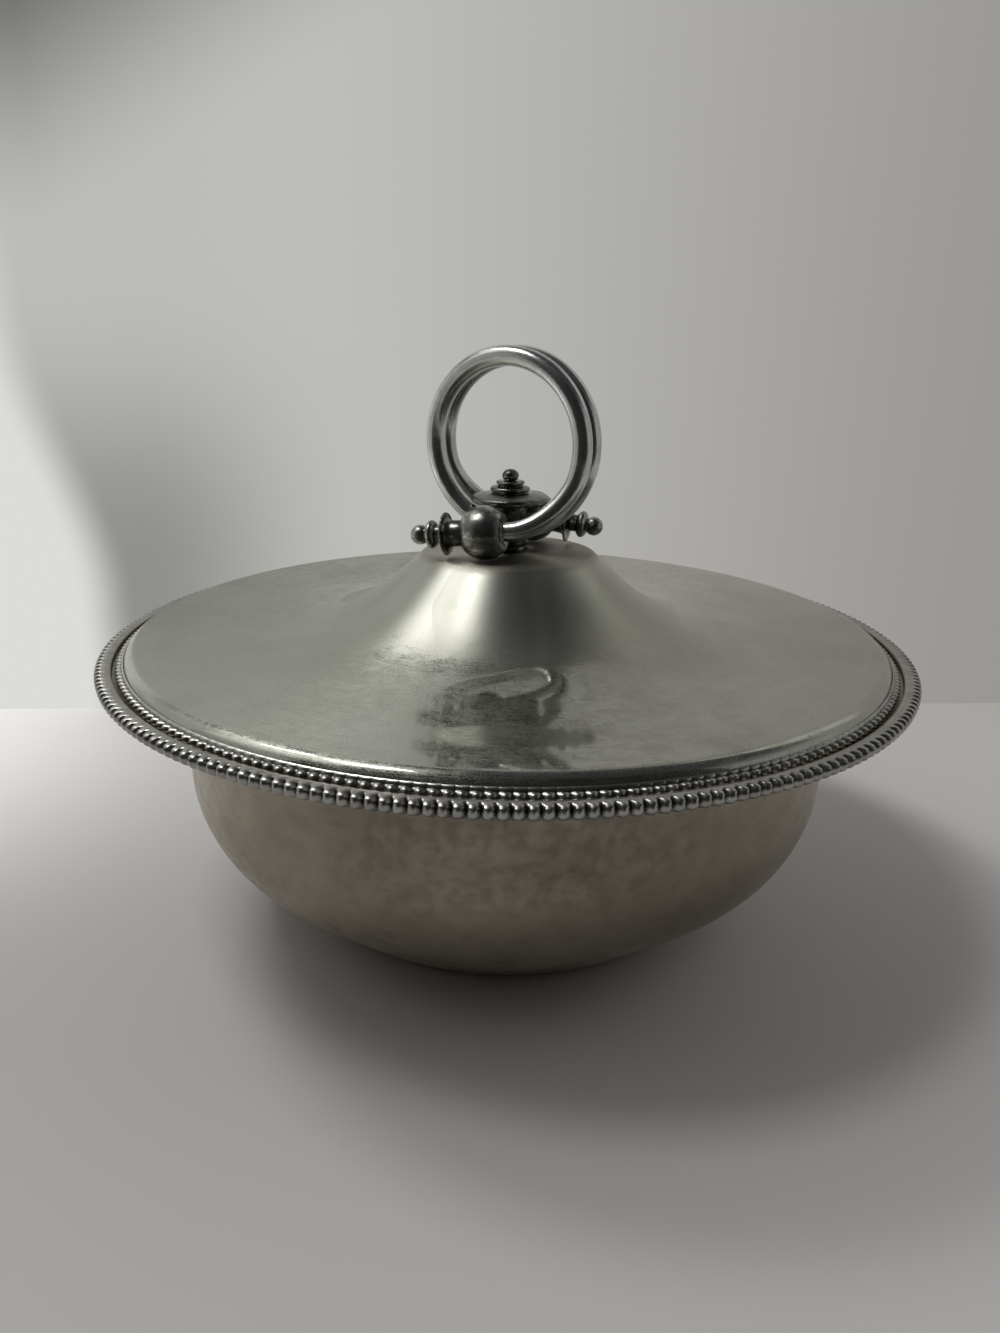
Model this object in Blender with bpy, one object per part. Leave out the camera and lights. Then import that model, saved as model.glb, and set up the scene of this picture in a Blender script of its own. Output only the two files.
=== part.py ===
"""A covered serving bowl of spun aluminium with a lid that lifts off by a coiled wire handle.

The bowl stands on the table with the middle of its foot at the origin. The handle's wire is wound as two
turns about the Y direction, so that its ring faces along Y. Lengths are in metres, with +Z up.
"""

import math

import bmesh
import bpy
from mathutils import Matrix, Vector

MM = 0.001

# Clearances
SEAT_GAP = 0.3 * MM
HOLE_GAP = 0.3 * MM
LID_PLAY = 1.2 * MM

# Bowl: one spun sheet, with a foot ring struck down from the base and a stepped flange at the top
SHEET = 1.6 * MM
FOOT_RISE = 0.8 * MM
FOOT_INNER_RADIUS = 50.0 * MM
FOOT_STEP = 2.0 * MM
FOOT_RADIUS = 68.5 * MM
FOOT_CORNER = 5.0 * MM
LOWER_SLOPE = math.radians(40.5)
BELLY_CORNER = 42.0 * MM
WALL_RADIUS = 108.4 * MM
WALL_FLARE = math.radians(1.5)
FLANGE_CORNER = 2.6 * MM

# Rim of the bowl: a recess for the lid and a raised band round it
RIM_HEIGHT = 90.2 * MM
RIM_RADIUS = 133.5 * MM
BAND_WIDTH = 4.9 * MM
BAND_DIP = 1.5 * MM
RECESS_DEPTH = 2.4 * MM
ROLL_WIDTH = 1.1 * MM
BOWL_BEAD_PITCH = 3.42 * MM
BOWL_GROOVE_DEPTH = 0.9 * MM

# Lid: one spun sheet, with a beaded ring, a round shoulder, a brim that dips to a shallow trough, and a boss
LID_WALL_INSET = 2.4 * MM
BRIM_HEIGHT = 6.0 * MM
BRIM_SLOPE = math.radians(3.2)
SHOULDER_CORNER = 3.8 * MM
TROUGH_RADIUS = 90.0 * MM
TROUGH_CORNER = 135.0 * MM
TROUGH_RISE = math.radians(5.0)
BOSS_HEIGHT = 31.3 * MM
BOSS_RADIUS = 28.4 * MM
BOSS_FLANK = math.radians(42.5)
BOSS_EDGE = 3.0 * MM
BOSS_FOOT = 61.0 * MM
RING_HEIGHT = 1.7 * MM
RING_STEP = 1.3 * MM
RING_GROOVE = 1.2 * MM
LID_BEAD_PITCH = 3.34 * MM
LID_GROOVE_DEPTH = 0.7 * MM

# Stud, washer and nut, which hold the handle on the lid
STUD_RADIUS = 1.6 * MM
STUD_END = 1.5 * MM
WASHER_RADIUS = 6.5 * MM
WASHER_HEIGHT = 1.0 * MM
NUT_WIDTH = 8.0 * MM
NUT_HEIGHT = 3.0 * MM

# Collar between the boss and the wire
COLLAR_RADIUS = 6.4 * MM
COLLAR_FOOT_HEIGHT = 2.3 * MM
COLLAR_NECK_RADIUS = 5.7 * MM
COLLAR_HEIGHT = 5.2 * MM

# Wire coil: two turns of round rod, with ends that spread out to the side finials
WIRE_RADIUS = 3.2 * MM
COIL_RADIUS = 27.6 * MM
COIL_PITCH = 6.9 * MM
WIRE_ABOVE_BOSS = 4.3 * MM
COIL_END_ANGLE = math.radians(80.0)
STEPS_PER_TURN = 36
LEAD_STEPS = 13
WIRE_SIDES = 12

# Saddle on top of the wire, and the cap above it
SADDLE_RADIUS = 5.6 * MM
SADDLE_SKIRT = 1.8 * MM
SADDLE_ABOVE_WIRE = 5.2 * MM
CAP_RADIUS = 13.0 * MM
CAP_EDGE = 1.1 * MM
CAP_RIM_HEIGHT = 2.3 * MM
CAP_HEIGHT = 3.4 * MM
CAP_FLAT_RADIUS = 6.4 * MM

# Top finial: two discs and a ball, turned on the head of the stud
LOWER_DISC_RADIUS = 6.6 * MM
LOWER_DISC_HEIGHT = 1.5 * MM
DISC_NECK_RADIUS = 4.0 * MM
UPPER_DISC_RADIUS = 4.7 * MM
UPPER_DISC_HEIGHT = 1.0 * MM
DISC_SPACING = 2.4 * MM
BALL_NECK_RADIUS = 1.7 * MM
TOP_BALL_RADIUS = 2.75 * MM
TOP_BALL_HEIGHT = 4.3 * MM

# Side finials, turned in one piece: a drilled ball, a flared disc, a bead and a small ball
BALL_RADIUS = 8.7 * MM
BALL_SIDE = 0.5 * MM
BALL_FORWARD = 18.1 * MM
FINIAL_SPLAY = math.radians(11.5)
FINIAL_DROOP = math.radians(5.7)
MOUTH_DISTANCE = 6.4 * MM
BORE_DEPTH = 5.0 * MM
COUNTERSINK = 0.8 * MM
FINIAL_NECK_RADIUS = 4.2 * MM
NECK_LENGTH = 2.2 * MM
FLARE_RADIUS = 6.9 * MM
FLARE_DISTANCE = 12.9 * MM
FLARE_EDGE = 0.7 * MM
STEM_RADIUS = 2.9 * MM
BEAD_RADIUS = 4.55 * MM
BEAD_DISTANCE = 17.8 * MM
BEAD_HALF_WIDTH = 1.95 * MM
TIP_NECK_RADIUS = 2.1 * MM
TIP_RADIUS = 3.2 * MM
TIP_DISTANCE = 21.9 * MM

# Facets round each kind of piece
BEADS_PER_FACET = 5
SMALL_SEGMENTS = 20
SHARP_ANGLE = math.radians(38.0)

# Finishes of the metal
WORN_SATIN = {"colour": (0.46, 0.44, 0.41), "roughness": 0.34}
SATIN = {"colour": (0.44, 0.44, 0.43), "roughness": 0.30}
POLISHED = {"colour": (0.62, 0.63, 0.62), "roughness": 0.14}
DARKENED = {"colour": (0.20, 0.20, 0.19), "roughness": 0.30}
PLATED = {"colour": (0.55, 0.54, 0.52), "roughness": 0.35}

# Heights and radii that follow from the sizes above
LEDGE = RIM_HEIGHT - RECESS_DEPTH
FLANGE_UNDERSIDE = LEDGE - SHEET
RECESS_RADIUS = RIM_RADIUS - BAND_WIDTH
LID_SEAT = LEDGE + SEAT_GAP
LID_RADIUS = RECESS_RADIUS - LID_PLAY
LID_WALL_RADIUS = LID_RADIUS - LID_WALL_INSET
BOSS_TOP = LID_SEAT + BOSS_HEIGHT
HOLE_RADIUS = STUD_RADIUS + HOLE_GAP
CROSSING = BOSS_TOP + WIRE_ABOVE_BOSS + WIRE_RADIUS
SADDLE_TOP = CROSSING + WIRE_RADIUS + SADDLE_ABOVE_WIRE
CAP_SEAT = SADDLE_TOP + SEAT_GAP
FINIAL_SEAT = CAP_SEAT + CAP_HEIGHT + SEAT_GAP
WASHER_SEAT = BOSS_TOP - SHEET - SEAT_GAP - WASHER_HEIGHT
NUT_SEAT = WASHER_SEAT - SEAT_GAP - NUT_HEIGHT
STUD_TIP = NUT_SEAT - STUD_END
BALL_HEIGHT = BOSS_TOP + SEAT_GAP + BALL_RADIUS
BOWL_SEGMENTS = round(2 * math.pi * RIM_RADIUS / (BOWL_BEAD_PITCH * BEADS_PER_FACET))
LID_SEGMENTS = round(2 * math.pi * LID_RADIUS / (LID_BEAD_PITCH * BEADS_PER_FACET))


def clear_scene():
    for old in list(bpy.data.objects):
        bpy.data.objects.remove(old)


def add_metal(name, finish):
    material = bpy.data.materials.new(name)
    material.use_nodes = True
    shader = material.node_tree.nodes["Principled BSDF"]
    shader.inputs["Base Color"].default_value = (*finish["colour"], 1.0)
    shader.inputs["Metallic"].default_value = 1.0
    shader.inputs["Roughness"].default_value = finish["roughness"]
    return material


def add_piece(name, shape, finish, parent, place):
    """Make an object from a bmesh. The place is given in the world, and the parent only carries it."""
    bmesh.ops.recalc_face_normals(shape, faces=shape.faces)
    mesh = bpy.data.meshes.new(name)
    shape.to_mesh(mesh)
    shape.free()
    mesh.shade_smooth()
    mesh.set_sharp_from_angle(angle=SHARP_ANGLE)
    piece = bpy.data.objects.new(name, mesh)
    bpy.context.scene.collection.objects.link(piece)
    if finish:
        mesh.materials.append(add_metal(name + "_metal", finish))
    if parent:
        piece.parent = parent
        place = place - parent.location
    piece.location = place
    return piece


def add_cut(piece, cutter):
    """Take the cutter away from the piece. The cutter stays as a hidden guide."""
    cutter.hide_render = True
    cutter.display_type = "WIRE"
    boolean = piece.modifiers.new(cutter.name, "BOOLEAN")
    boolean.operation = "DIFFERENCE"
    boolean.solver = "EXACT"
    boolean.object = cutter


def at_height(height):
    return Vector((0.0, 0.0, height))


def arc(centre, radius, start, end, steps):
    """Points (r, z) on an arc, from the start angle to the end angle."""
    points = []
    for step in range(steps + 1):
        angle = start + (end - start) * step / steps
        points.append((centre[0] + radius * math.cos(angle), centre[1] + radius * math.sin(angle)))
    return points


def crossing_of(point_a, direction_a, point_b, direction_b):
    """The point where two straight lines of the profile plane meet."""
    spread = direction_a[0] * direction_b[1] - direction_a[1] * direction_b[0]
    gap = (point_b[0] - point_a[0], point_b[1] - point_a[1])
    along = (gap[0] * direction_b[1] - gap[1] * direction_b[0]) / spread
    return point_a[0] + along * direction_a[0], point_a[1] + along * direction_a[1]


def rounded(corners):
    """Turn a path of corners (r, z, radius, steps) into points, with an arc at each corner that has a radius."""
    points = []
    for index, (r, z, radius, steps) in enumerate(corners):
        here = Vector((r, z))
        if not radius:
            points.append(here)
            continue
        back = (Vector(corners[index - 1][:2]) - here).normalized()
        ahead = (Vector(corners[index + 1][:2]) - here).normalized()
        half = back.angle(ahead) / 2
        centre = here + (back + ahead).normalized() * radius / math.sin(half)
        first = here + back * radius / math.tan(half)
        last = here + ahead * radius / math.tan(half)
        sweep = (first - centre).angle_signed(last - centre)
        for step in range(steps + 1):
            points.append(centre + Matrix.Rotation(-sweep * step / steps, 2) @ (first - centre))
    return [(point[0], point[1]) for point in points]


def parallel(corners, distance):
    """The same path moved sideways by a distance to its left, with its ends kept square."""
    moved = []
    for index, (r, z, radius, steps) in enumerate(corners):
        here = Vector((r, z))
        before = Vector(corners[max(index - 1, 0)][:2])
        after = Vector(corners[min(index + 1, len(corners) - 1)][:2])
        arriving = (here - before).normalized() if index else (after - here).normalized()
        leaving = (after - here).normalized() if index < len(corners) - 1 else arriving
        left_of_arriving = Vector((-arriving[1], arriving[0]))
        left_of_leaving = Vector((-leaving[1], leaving[0]))
        middle = (left_of_arriving + left_of_leaving).normalized()
        place = here + middle * distance / middle.dot(left_of_arriving)
        turns_left = arriving[0] * leaving[1] - arriving[1] * leaving[0] > 0
        moved_radius = radius - distance if turns_left else radius + distance
        moved.append((place[0], place[1], max(moved_radius, 0.0) if radius else 0.0, steps))
    return moved


def turn(profile, segments, closed):
    """Spin a profile of points (r, z) about Z. A closed profile makes a ring; an open one ends on the axis."""
    shape = bmesh.new()
    corners = [shape.verts.new((r, 0.0, z)) for r, z in profile]
    for first, second in zip(corners, corners[1:]):
        shape.edges.new((first, second))
    if closed:
        shape.edges.new((corners[-1], corners[0]))
    bmesh.ops.spin(
        shape,
        geom=list(shape.verts) + list(shape.edges),
        cent=(0.0, 0.0, 0.0),
        axis=(0.0, 0.0, 1.0),
        angle=2 * math.pi,
        steps=segments,
        use_merge=True,
    )
    bmesh.ops.remove_doubles(shape, verts=shape.verts, dist=0.001 * MM)
    return shape


def add_shape(shape, other):
    """Move another bmesh into this one, and return its edges."""
    mesh = bpy.data.meshes.new("other")
    other.to_mesh(mesh)
    other.free()
    known = set(shape.edges)
    shape.from_mesh(mesh)
    bpy.data.meshes.remove(mesh)
    return [edge for edge in shape.edges if edge not in known]


def beaded_strip(rows, beads):
    """Spin the outer edge of a rim with two facets for each bead. Each row is (r, z, depth of the grooves)."""
    strip = turn([(r, z) for r, z, depth in rows], 2 * beads, False)
    for vert in strip.verts:
        r = math.hypot(vert.co.x, vert.co.y)
        column = round(math.atan2(vert.co.y, vert.co.x) * beads / math.pi)
        depth = min((abs(z - vert.co.z), depth) for row_r, z, depth in rows)[1]
        if column % 2 == 0:
            vert.co.x *= (r - depth) / r
            vert.co.y *= (r - depth) / r
    return strip


def join_strip(shape, strip, beads):
    """Add a beaded strip to a turned sheet and close the two seams between them, one below and one above."""
    sheet_edges = [edge for edge in shape.edges if edge.is_boundary]
    strip_edges = [edge for edge in add_shape(shape, strip) if edge.is_boundary]
    for edges in (sheet_edges, strip_edges):
        edges.sort(key=lambda edge: edge.verts[0].co.z + edge.verts[1].co.z)
    half = len(sheet_edges) // 2
    bmesh.ops.bridge_loops(shape, edges=sheet_edges[:half] + strip_edges[:2 * beads])
    bmesh.ops.bridge_loops(shape, edges=sheet_edges[half:] + strip_edges[2 * beads:])


def rod(radius, bottom, top):
    shape = bmesh.new()
    bmesh.ops.create_cone(
        shape,
        cap_ends=True,
        segments=SMALL_SEGMENTS,
        radius1=radius,
        radius2=radius,
        depth=top - bottom,
        matrix=Matrix.Translation((0.0, 0.0, (bottom + top) / 2)),
    )
    return shape


def tube(name, route, radius):
    """A round tube along a route of points, with flat closed ends, as a bmesh."""
    curve = bpy.data.curves.new(name + "_route", "CURVE")
    curve.dimensions = "3D"
    curve.twist_mode = "MINIMUM"
    curve.bevel_depth = radius
    curve.bevel_resolution = (WIRE_SIDES - 4) // 2
    curve.use_fill_caps = True
    spline = curve.splines.new("POLY")
    spline.points.add(len(route) - 1)
    for point, place in zip(spline.points, route):
        point.co = (*place, 1.0)
    guide = bpy.data.objects.new(name + "_route", curve)
    bpy.context.scene.collection.objects.link(guide)
    mesh = bpy.data.meshes.new_from_object(guide.evaluated_get(bpy.context.evaluated_depsgraph_get()))
    bpy.data.objects.remove(guide)
    shape = bmesh.new()
    shape.from_mesh(mesh)
    bpy.data.meshes.remove(mesh)
    bmesh.ops.remove_doubles(shape, verts=shape.verts, dist=0.001 * MM)
    return shape


def bowl_sheet():
    """Corners of the sheet's outer side, from the middle of the foot out to the rim."""
    slope = (math.cos(LOWER_SLOPE), math.sin(LOWER_SLOPE))
    wall = (-math.sin(WALL_FLARE), -math.cos(WALL_FLARE))
    belly = crossing_of((FOOT_RADIUS, 0.0), slope, (WALL_RADIUS, FLANGE_UNDERSIDE), wall)
    return [
        (0.0, FOOT_RISE, 0.0, 0),
        (FOOT_INNER_RADIUS, FOOT_RISE, 0.0, 0),
        (FOOT_INNER_RADIUS + FOOT_STEP, 0.0, 0.0, 0),
        (FOOT_RADIUS, 0.0, FOOT_CORNER, 2),
        (*belly, BELLY_CORNER, 6),
        (WALL_RADIUS, FLANGE_UNDERSIDE, FLANGE_CORNER, 2),
        (RECESS_RADIUS, FLANGE_UNDERSIDE, 0.0, 0),
    ]


def make_bowl():
    sheet = bowl_sheet()
    ledge = parallel(sheet, SHEET)
    ledge[-1] = (RECESS_RADIUS, LEDGE, 0.0, 0)
    shape = turn(rounded(sheet), BOWL_SEGMENTS, False)
    inside = turn(rounded(ledge) + [(RECESS_RADIUS, RIM_HEIGHT - BAND_DIP)], BOWL_SEGMENTS, False)
    add_shape(shape, inside)
    rim_middle = (RIM_HEIGHT + FLANGE_UNDERSIDE) / 2
    rows = [
        (RIM_RADIUS - ROLL_WIDTH, FLANGE_UNDERSIDE, 0.0),
        (RIM_RADIUS - ROLL_WIDTH / 4, (FLANGE_UNDERSIDE + rim_middle) / 2, BOWL_GROOVE_DEPTH * 0.6),
        (RIM_RADIUS, (RIM_HEIGHT + rim_middle) / 2 - ROLL_WIDTH / 4, BOWL_GROOVE_DEPTH),
        (RIM_RADIUS - ROLL_WIDTH, RIM_HEIGHT, BOWL_GROOVE_DEPTH * 0.3),
    ]
    beads = BOWL_SEGMENTS * BEADS_PER_FACET
    join_strip(shape, beaded_strip(rows, beads), beads)
    add_piece("bowl", shape, WORN_SATIN, None, at_height(0.0))


def lid_sheet():
    """Corners of the sheet's upper side, from the wall down at the rim up to the hole in the boss."""
    shoulder = (LID_WALL_RADIUS, BRIM_HEIGHT)
    trough = (TROUGH_RADIUS, BRIM_HEIGHT - (LID_WALL_RADIUS - TROUGH_RADIUS) * math.tan(BRIM_SLOPE))
    rise = (-math.cos(TROUGH_RISE), math.sin(TROUGH_RISE))
    flank = (-math.cos(BOSS_FLANK), math.sin(BOSS_FLANK))
    boss_foot = crossing_of(trough, rise, (BOSS_RADIUS, BOSS_HEIGHT), flank)
    return [
        (LID_WALL_RADIUS, RING_GROOVE, 0.0, 0),
        (*shoulder, SHOULDER_CORNER, 3),
        (*trough, TROUGH_CORNER, 1),
        (*boss_foot, BOSS_FOOT, 5),
        (BOSS_RADIUS, BOSS_HEIGHT, BOSS_EDGE, 2),
        (HOLE_RADIUS, BOSS_HEIGHT, 0.0, 0),
    ]


def make_lid(parent):
    sheet = lid_sheet()
    underside = parallel(sheet, SHEET)
    underside[0] = (underside[0][0], 0.0, 0.0, 0)
    shape = turn(rounded(sheet) + list(reversed(rounded(underside))), LID_SEGMENTS, False)
    rows = [
        (LID_RADIUS - RING_HEIGHT / 3, 0.0, 0.0),
        (LID_RADIUS, RING_HEIGHT / 2, LID_GROOVE_DEPTH),
        (LID_RADIUS - RING_STEP, RING_HEIGHT, 0.0),
    ]
    beads = LID_SEGMENTS * BEADS_PER_FACET
    join_strip(shape, beaded_strip(rows, beads), beads)
    add_piece("lid", shape, SATIN, parent, at_height(LID_SEAT))


def helix(angle):
    """A point of the coil. One turn ends at 360 degrees, where the wire crosses the axis of the stud."""
    return Vector((
        COIL_RADIUS * math.sin(angle),
        COIL_PITCH * (angle / (2 * math.pi) - 1),
        COIL_RADIUS * (1 - math.cos(angle)),
    ))


def finial_direction():
    across = math.cos(FINIAL_DROOP)
    return Vector((
        -across * math.cos(FINIAL_SPLAY),
        -across * math.sin(FINIAL_SPLAY),
        -math.sin(FINIAL_DROOP),
    ))


def ball_place():
    """The middle of the front finial's ball, seen from the crossing of the wire."""
    return Vector((BALL_SIDE, -BALL_FORWARD, BALL_HEIGHT - CROSSING))


def lead(start, start_way, end, end_way):
    """A smooth stretch of wire between two points, which leaves and arrives along the given ways."""
    reach = (end - start).length
    points = []
    for step in range(LEAD_STEPS + 1):
        u = step / LEAD_STEPS
        points.append(
            (2 * u**3 - 3 * u**2 + 1) * start
            + (u**3 - 2 * u**2 + u) * reach * start_way
            + (3 * u**2 - 2 * u**3) * end
            + (u**3 - u**2) * reach * end_way
        )
    return points


def wire_route():
    """The whole wire: its front half from the front finial to the crossing, then that half turned about Z."""
    outward = finial_direction()
    inner_end = ball_place() - outward * (MOUTH_DISTANCE - BORE_DEPTH + SEAT_GAP)
    straight_end = inner_end - outward * 2 * WIRE_RADIUS
    turn_step = 2 * math.pi / STEPS_PER_TURN
    steps = round((2 * math.pi - COIL_END_ANGLE) / turn_step)
    turns = [helix(2 * math.pi - turn_step * step) for step in range(steps, -1, -1)]
    arriving = (turns[1] - turns[0]).normalized()
    front = [inner_end] + lead(straight_end, -outward, turns[0], arriving) + turns[1:]
    rear = [Vector((-point.x, -point.y, point.z)) for point in reversed(front)]
    return front + rear[1:]


def print_least_gap(route):
    """Print how near the wire comes to itself, measured between points that lie over a third of a turn apart."""
    apart = STEPS_PER_TURN // 3
    least = min(
        (first - second).length
        for index, first in enumerate(route)
        for second in route[index + apart:]
    )
    print(f"least gap of the wire to itself: {(least - 2 * WIRE_RADIUS) / MM:.2f} mm")


def make_coil(parent):
    route = wire_route()
    print_least_gap(route)
    shape = tube("handle_coil", route, WIRE_RADIUS)
    coil = add_piece("handle_coil", shape, POLISHED, parent, at_height(CROSSING))
    hole = rod(HOLE_RADIUS, CROSSING - 2 * WIRE_RADIUS, CROSSING + 2 * WIRE_RADIUS)
    add_cut(coil, add_piece("wire_hole_cutter", hole, None, None, at_height(0.0)))


def wire_seat_cutter():
    """The crossing stretch of the wire, grown by the seat gap, which shapes the collar and the saddle."""
    turn_step = 2 * math.pi / STEPS_PER_TURN
    route = [helix(2 * math.pi + turn_step * step) for step in range(-4, 5)]
    shape = tube("wire_seat_cutter", route, WIRE_RADIUS + SEAT_GAP)
    return add_piece("wire_seat_cutter", shape, None, None, at_height(CROSSING))


def make_collar(parent, seat_cutter):
    foot_curve = COLLAR_FOOT_HEIGHT / 2
    profile = [(HOLE_RADIUS, 0.0)]
    profile += arc((COLLAR_RADIUS - foot_curve, foot_curve), foot_curve, -math.pi / 2, math.pi / 2, 4)
    profile += [
        (COLLAR_NECK_RADIUS, COLLAR_FOOT_HEIGHT),
        (COLLAR_NECK_RADIUS, COLLAR_HEIGHT),
        (HOLE_RADIUS, COLLAR_HEIGHT),
    ]
    shape = turn(profile, SMALL_SEGMENTS, True)
    collar = add_piece("collar", shape, DARKENED, parent, at_height(BOSS_TOP + SEAT_GAP))
    add_cut(collar, seat_cutter)


def make_saddle(parent, seat_cutter):
    bottom = CROSSING + SADDLE_SKIRT
    height = SADDLE_TOP - bottom
    profile = [
        (HOLE_RADIUS, 0.0),
        (SADDLE_RADIUS, 0.0),
        (SADDLE_RADIUS, height),
        (HOLE_RADIUS, height),
    ]
    shape = turn(profile, SMALL_SEGMENTS, True)
    add_cut(add_piece("saddle", shape, DARKENED, parent, at_height(bottom)), seat_cutter)


def make_cap(parent):
    rim_top = CAP_RIM_HEIGHT - CAP_EDGE
    profile = [(HOLE_RADIUS, 0.0)]
    profile += arc((CAP_RADIUS - CAP_EDGE, CAP_EDGE), CAP_EDGE, -math.pi / 2, 0.0, 3)
    profile += arc((CAP_RADIUS - CAP_EDGE, rim_top), CAP_EDGE, 0.0, math.radians(75.0), 3)[1:]
    profile += [(CAP_FLAT_RADIUS, CAP_HEIGHT), (HOLE_RADIUS, CAP_HEIGHT)]
    add_piece("cap", turn(profile, SMALL_SEGMENTS, True), DARKENED, parent, at_height(CAP_SEAT))


def disc_edge(radius, bottom, height):
    """The rounded edge of a turned disc, from its underside to its top."""
    half = height / 2
    return arc((radius - half, bottom + half), half, -math.pi / 2, math.pi / 2, 3)


def make_top_finial(parent):
    ball_start = DISC_SPACING + UPPER_DISC_HEIGHT
    half = TOP_BALL_HEIGHT / 2
    profile = [
        (0.0, STUD_TIP - FINIAL_SEAT),
        (STUD_RADIUS, STUD_TIP - FINIAL_SEAT),
        (STUD_RADIUS, 0.0),
    ]
    profile += disc_edge(LOWER_DISC_RADIUS, 0.0, LOWER_DISC_HEIGHT)
    profile.append((DISC_NECK_RADIUS, DISC_SPACING))
    profile += disc_edge(UPPER_DISC_RADIUS, DISC_SPACING, UPPER_DISC_HEIGHT)[1:]
    neck_angle = math.acos(BALL_NECK_RADIUS / TOP_BALL_RADIUS)
    profile.append((BALL_NECK_RADIUS, ball_start))
    for r, z in arc((0.0, 0.0), 1.0, -neck_angle, math.pi / 2, 6):
        profile.append((TOP_BALL_RADIUS * max(r, 0.0), ball_start + half * (math.sin(neck_angle) + z)))
    profile[-1] = (0.0, profile[-1][1])
    shape = turn(profile, SMALL_SEGMENTS, False)
    add_piece("top_finial", shape, DARKENED, parent, at_height(FINIAL_SEAT))


def finial_profile():
    """The side finial's outline, from the bottom of its bore to its tip, with z measured from the ball's middle."""
    bore = WIRE_RADIUS + HOLE_GAP
    mouth = -MOUTH_DISTANCE
    mouth_angle = -math.asin(MOUTH_DISTANCE / BALL_RADIUS)
    neck_angle = math.acos(FINIAL_NECK_RADIUS / BALL_RADIUS)
    neck_start = BALL_RADIUS * math.sin(neck_angle)
    flare_start = FLARE_DISTANCE - FLARE_EDGE / 2
    flare_end = FLARE_DISTANCE + FLARE_EDGE / 2
    profile = [
        (0.0, mouth + BORE_DEPTH),
        (bore, mouth + BORE_DEPTH),
        (bore, mouth + COUNTERSINK),
        (bore + COUNTERSINK, mouth),
    ]
    profile += arc((0.0, 0.0), BALL_RADIUS, mouth_angle, neck_angle, 9)
    profile.append((FINIAL_NECK_RADIUS, neck_start + NECK_LENGTH))
    flare_steps = 3
    for step in range(1, flare_steps + 1):
        u = step / flare_steps
        r = FINIAL_NECK_RADIUS + (FLARE_RADIUS - FLARE_EDGE / 2 - FINIAL_NECK_RADIUS) * u**2
        z = neck_start + NECK_LENGTH + (flare_start - neck_start - NECK_LENGTH) * math.sin(u * math.pi / 2)
        profile.append((r, z))
    profile += disc_edge(FLARE_RADIUS, flare_start, FLARE_EDGE)[1:]
    profile.append((STEM_RADIUS, flare_end + FLARE_EDGE))
    profile.append((STEM_RADIUS, BEAD_DISTANCE - BEAD_HALF_WIDTH))
    for r, z in arc((0.0, 0.0), 1.0, math.radians(-50.0), math.radians(60.0), 4):
        profile.append((BEAD_RADIUS * r, BEAD_DISTANCE + BEAD_HALF_WIDTH * z / math.sin(math.radians(60.0))))
    tip_neck_angle = -math.acos(TIP_NECK_RADIUS / TIP_RADIUS)
    profile.append((TIP_NECK_RADIUS, TIP_DISTANCE + TIP_RADIUS * math.sin(tip_neck_angle)))
    profile += arc((0.0, TIP_DISTANCE), TIP_RADIUS, tip_neck_angle, math.pi / 2, 5)[1:]
    profile[-1] = (0.0, profile[-1][1])
    return profile


def make_side_finials(parent):
    """The front finial and its twin, half a turn round the stud from it."""
    place = ball_place() + at_height(CROSSING)
    outward = finial_direction()
    half_turn = Matrix.Rotation(math.pi, 3, "Z")
    for name, spin in (("front_finial", Matrix.Identity(3)), ("rear_finial", half_turn)):
        shape = turn(finial_profile(), SMALL_SEGMENTS, False)
        finial = add_piece(name, shape, DARKENED, parent, spin @ place)
        finial.rotation_mode = "QUATERNION"
        finial.rotation_quaternion = (spin @ outward).to_track_quat("Z", "Y")


def make_washer(parent):
    profile = [
        (HOLE_RADIUS, 0.0),
        (WASHER_RADIUS, 0.0),
        (WASHER_RADIUS, WASHER_HEIGHT),
        (HOLE_RADIUS, WASHER_HEIGHT),
    ]
    add_piece("washer", turn(profile, SMALL_SEGMENTS, True), PLATED, parent, at_height(WASHER_SEAT))


def make_nut(parent):
    corner_radius = NUT_WIDTH / 2 / math.cos(math.pi / 6)
    shape = bmesh.new()
    bmesh.ops.create_cone(
        shape,
        cap_ends=True,
        segments=6,
        radius1=corner_radius,
        radius2=corner_radius,
        depth=NUT_HEIGHT,
        matrix=Matrix.Translation((0.0, 0.0, NUT_HEIGHT / 2)),
    )
    nut = add_piece("nut", shape, PLATED, parent, at_height(NUT_SEAT))
    hole = rod(HOLE_RADIUS, NUT_SEAT - NUT_HEIGHT, NUT_SEAT + 2 * NUT_HEIGHT)
    add_cut(nut, add_piece("nut_hole_cutter", hole, None, None, at_height(0.0)))


clear_scene()

lid_axis = bpy.data.objects.new("lid_axis", None)
bpy.context.scene.collection.objects.link(lid_axis)
lid_axis.location = at_height(LID_SEAT)

make_bowl()
make_lid(lid_axis)
make_coil(lid_axis)
wire_seat = wire_seat_cutter()
make_collar(lid_axis, wire_seat)
make_saddle(lid_axis, wire_seat)
make_cap(lid_axis)
make_top_finial(lid_axis)
make_side_finials(lid_axis)
make_washer(lid_axis)
make_nut(lid_axis)
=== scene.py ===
"""Looks of a covered serving bowl of worn spun aluminium, whose lid lifts off by a coiled wire handle."""

import math

import bmesh
import bpy
from mathutils import Matrix, Vector


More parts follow.
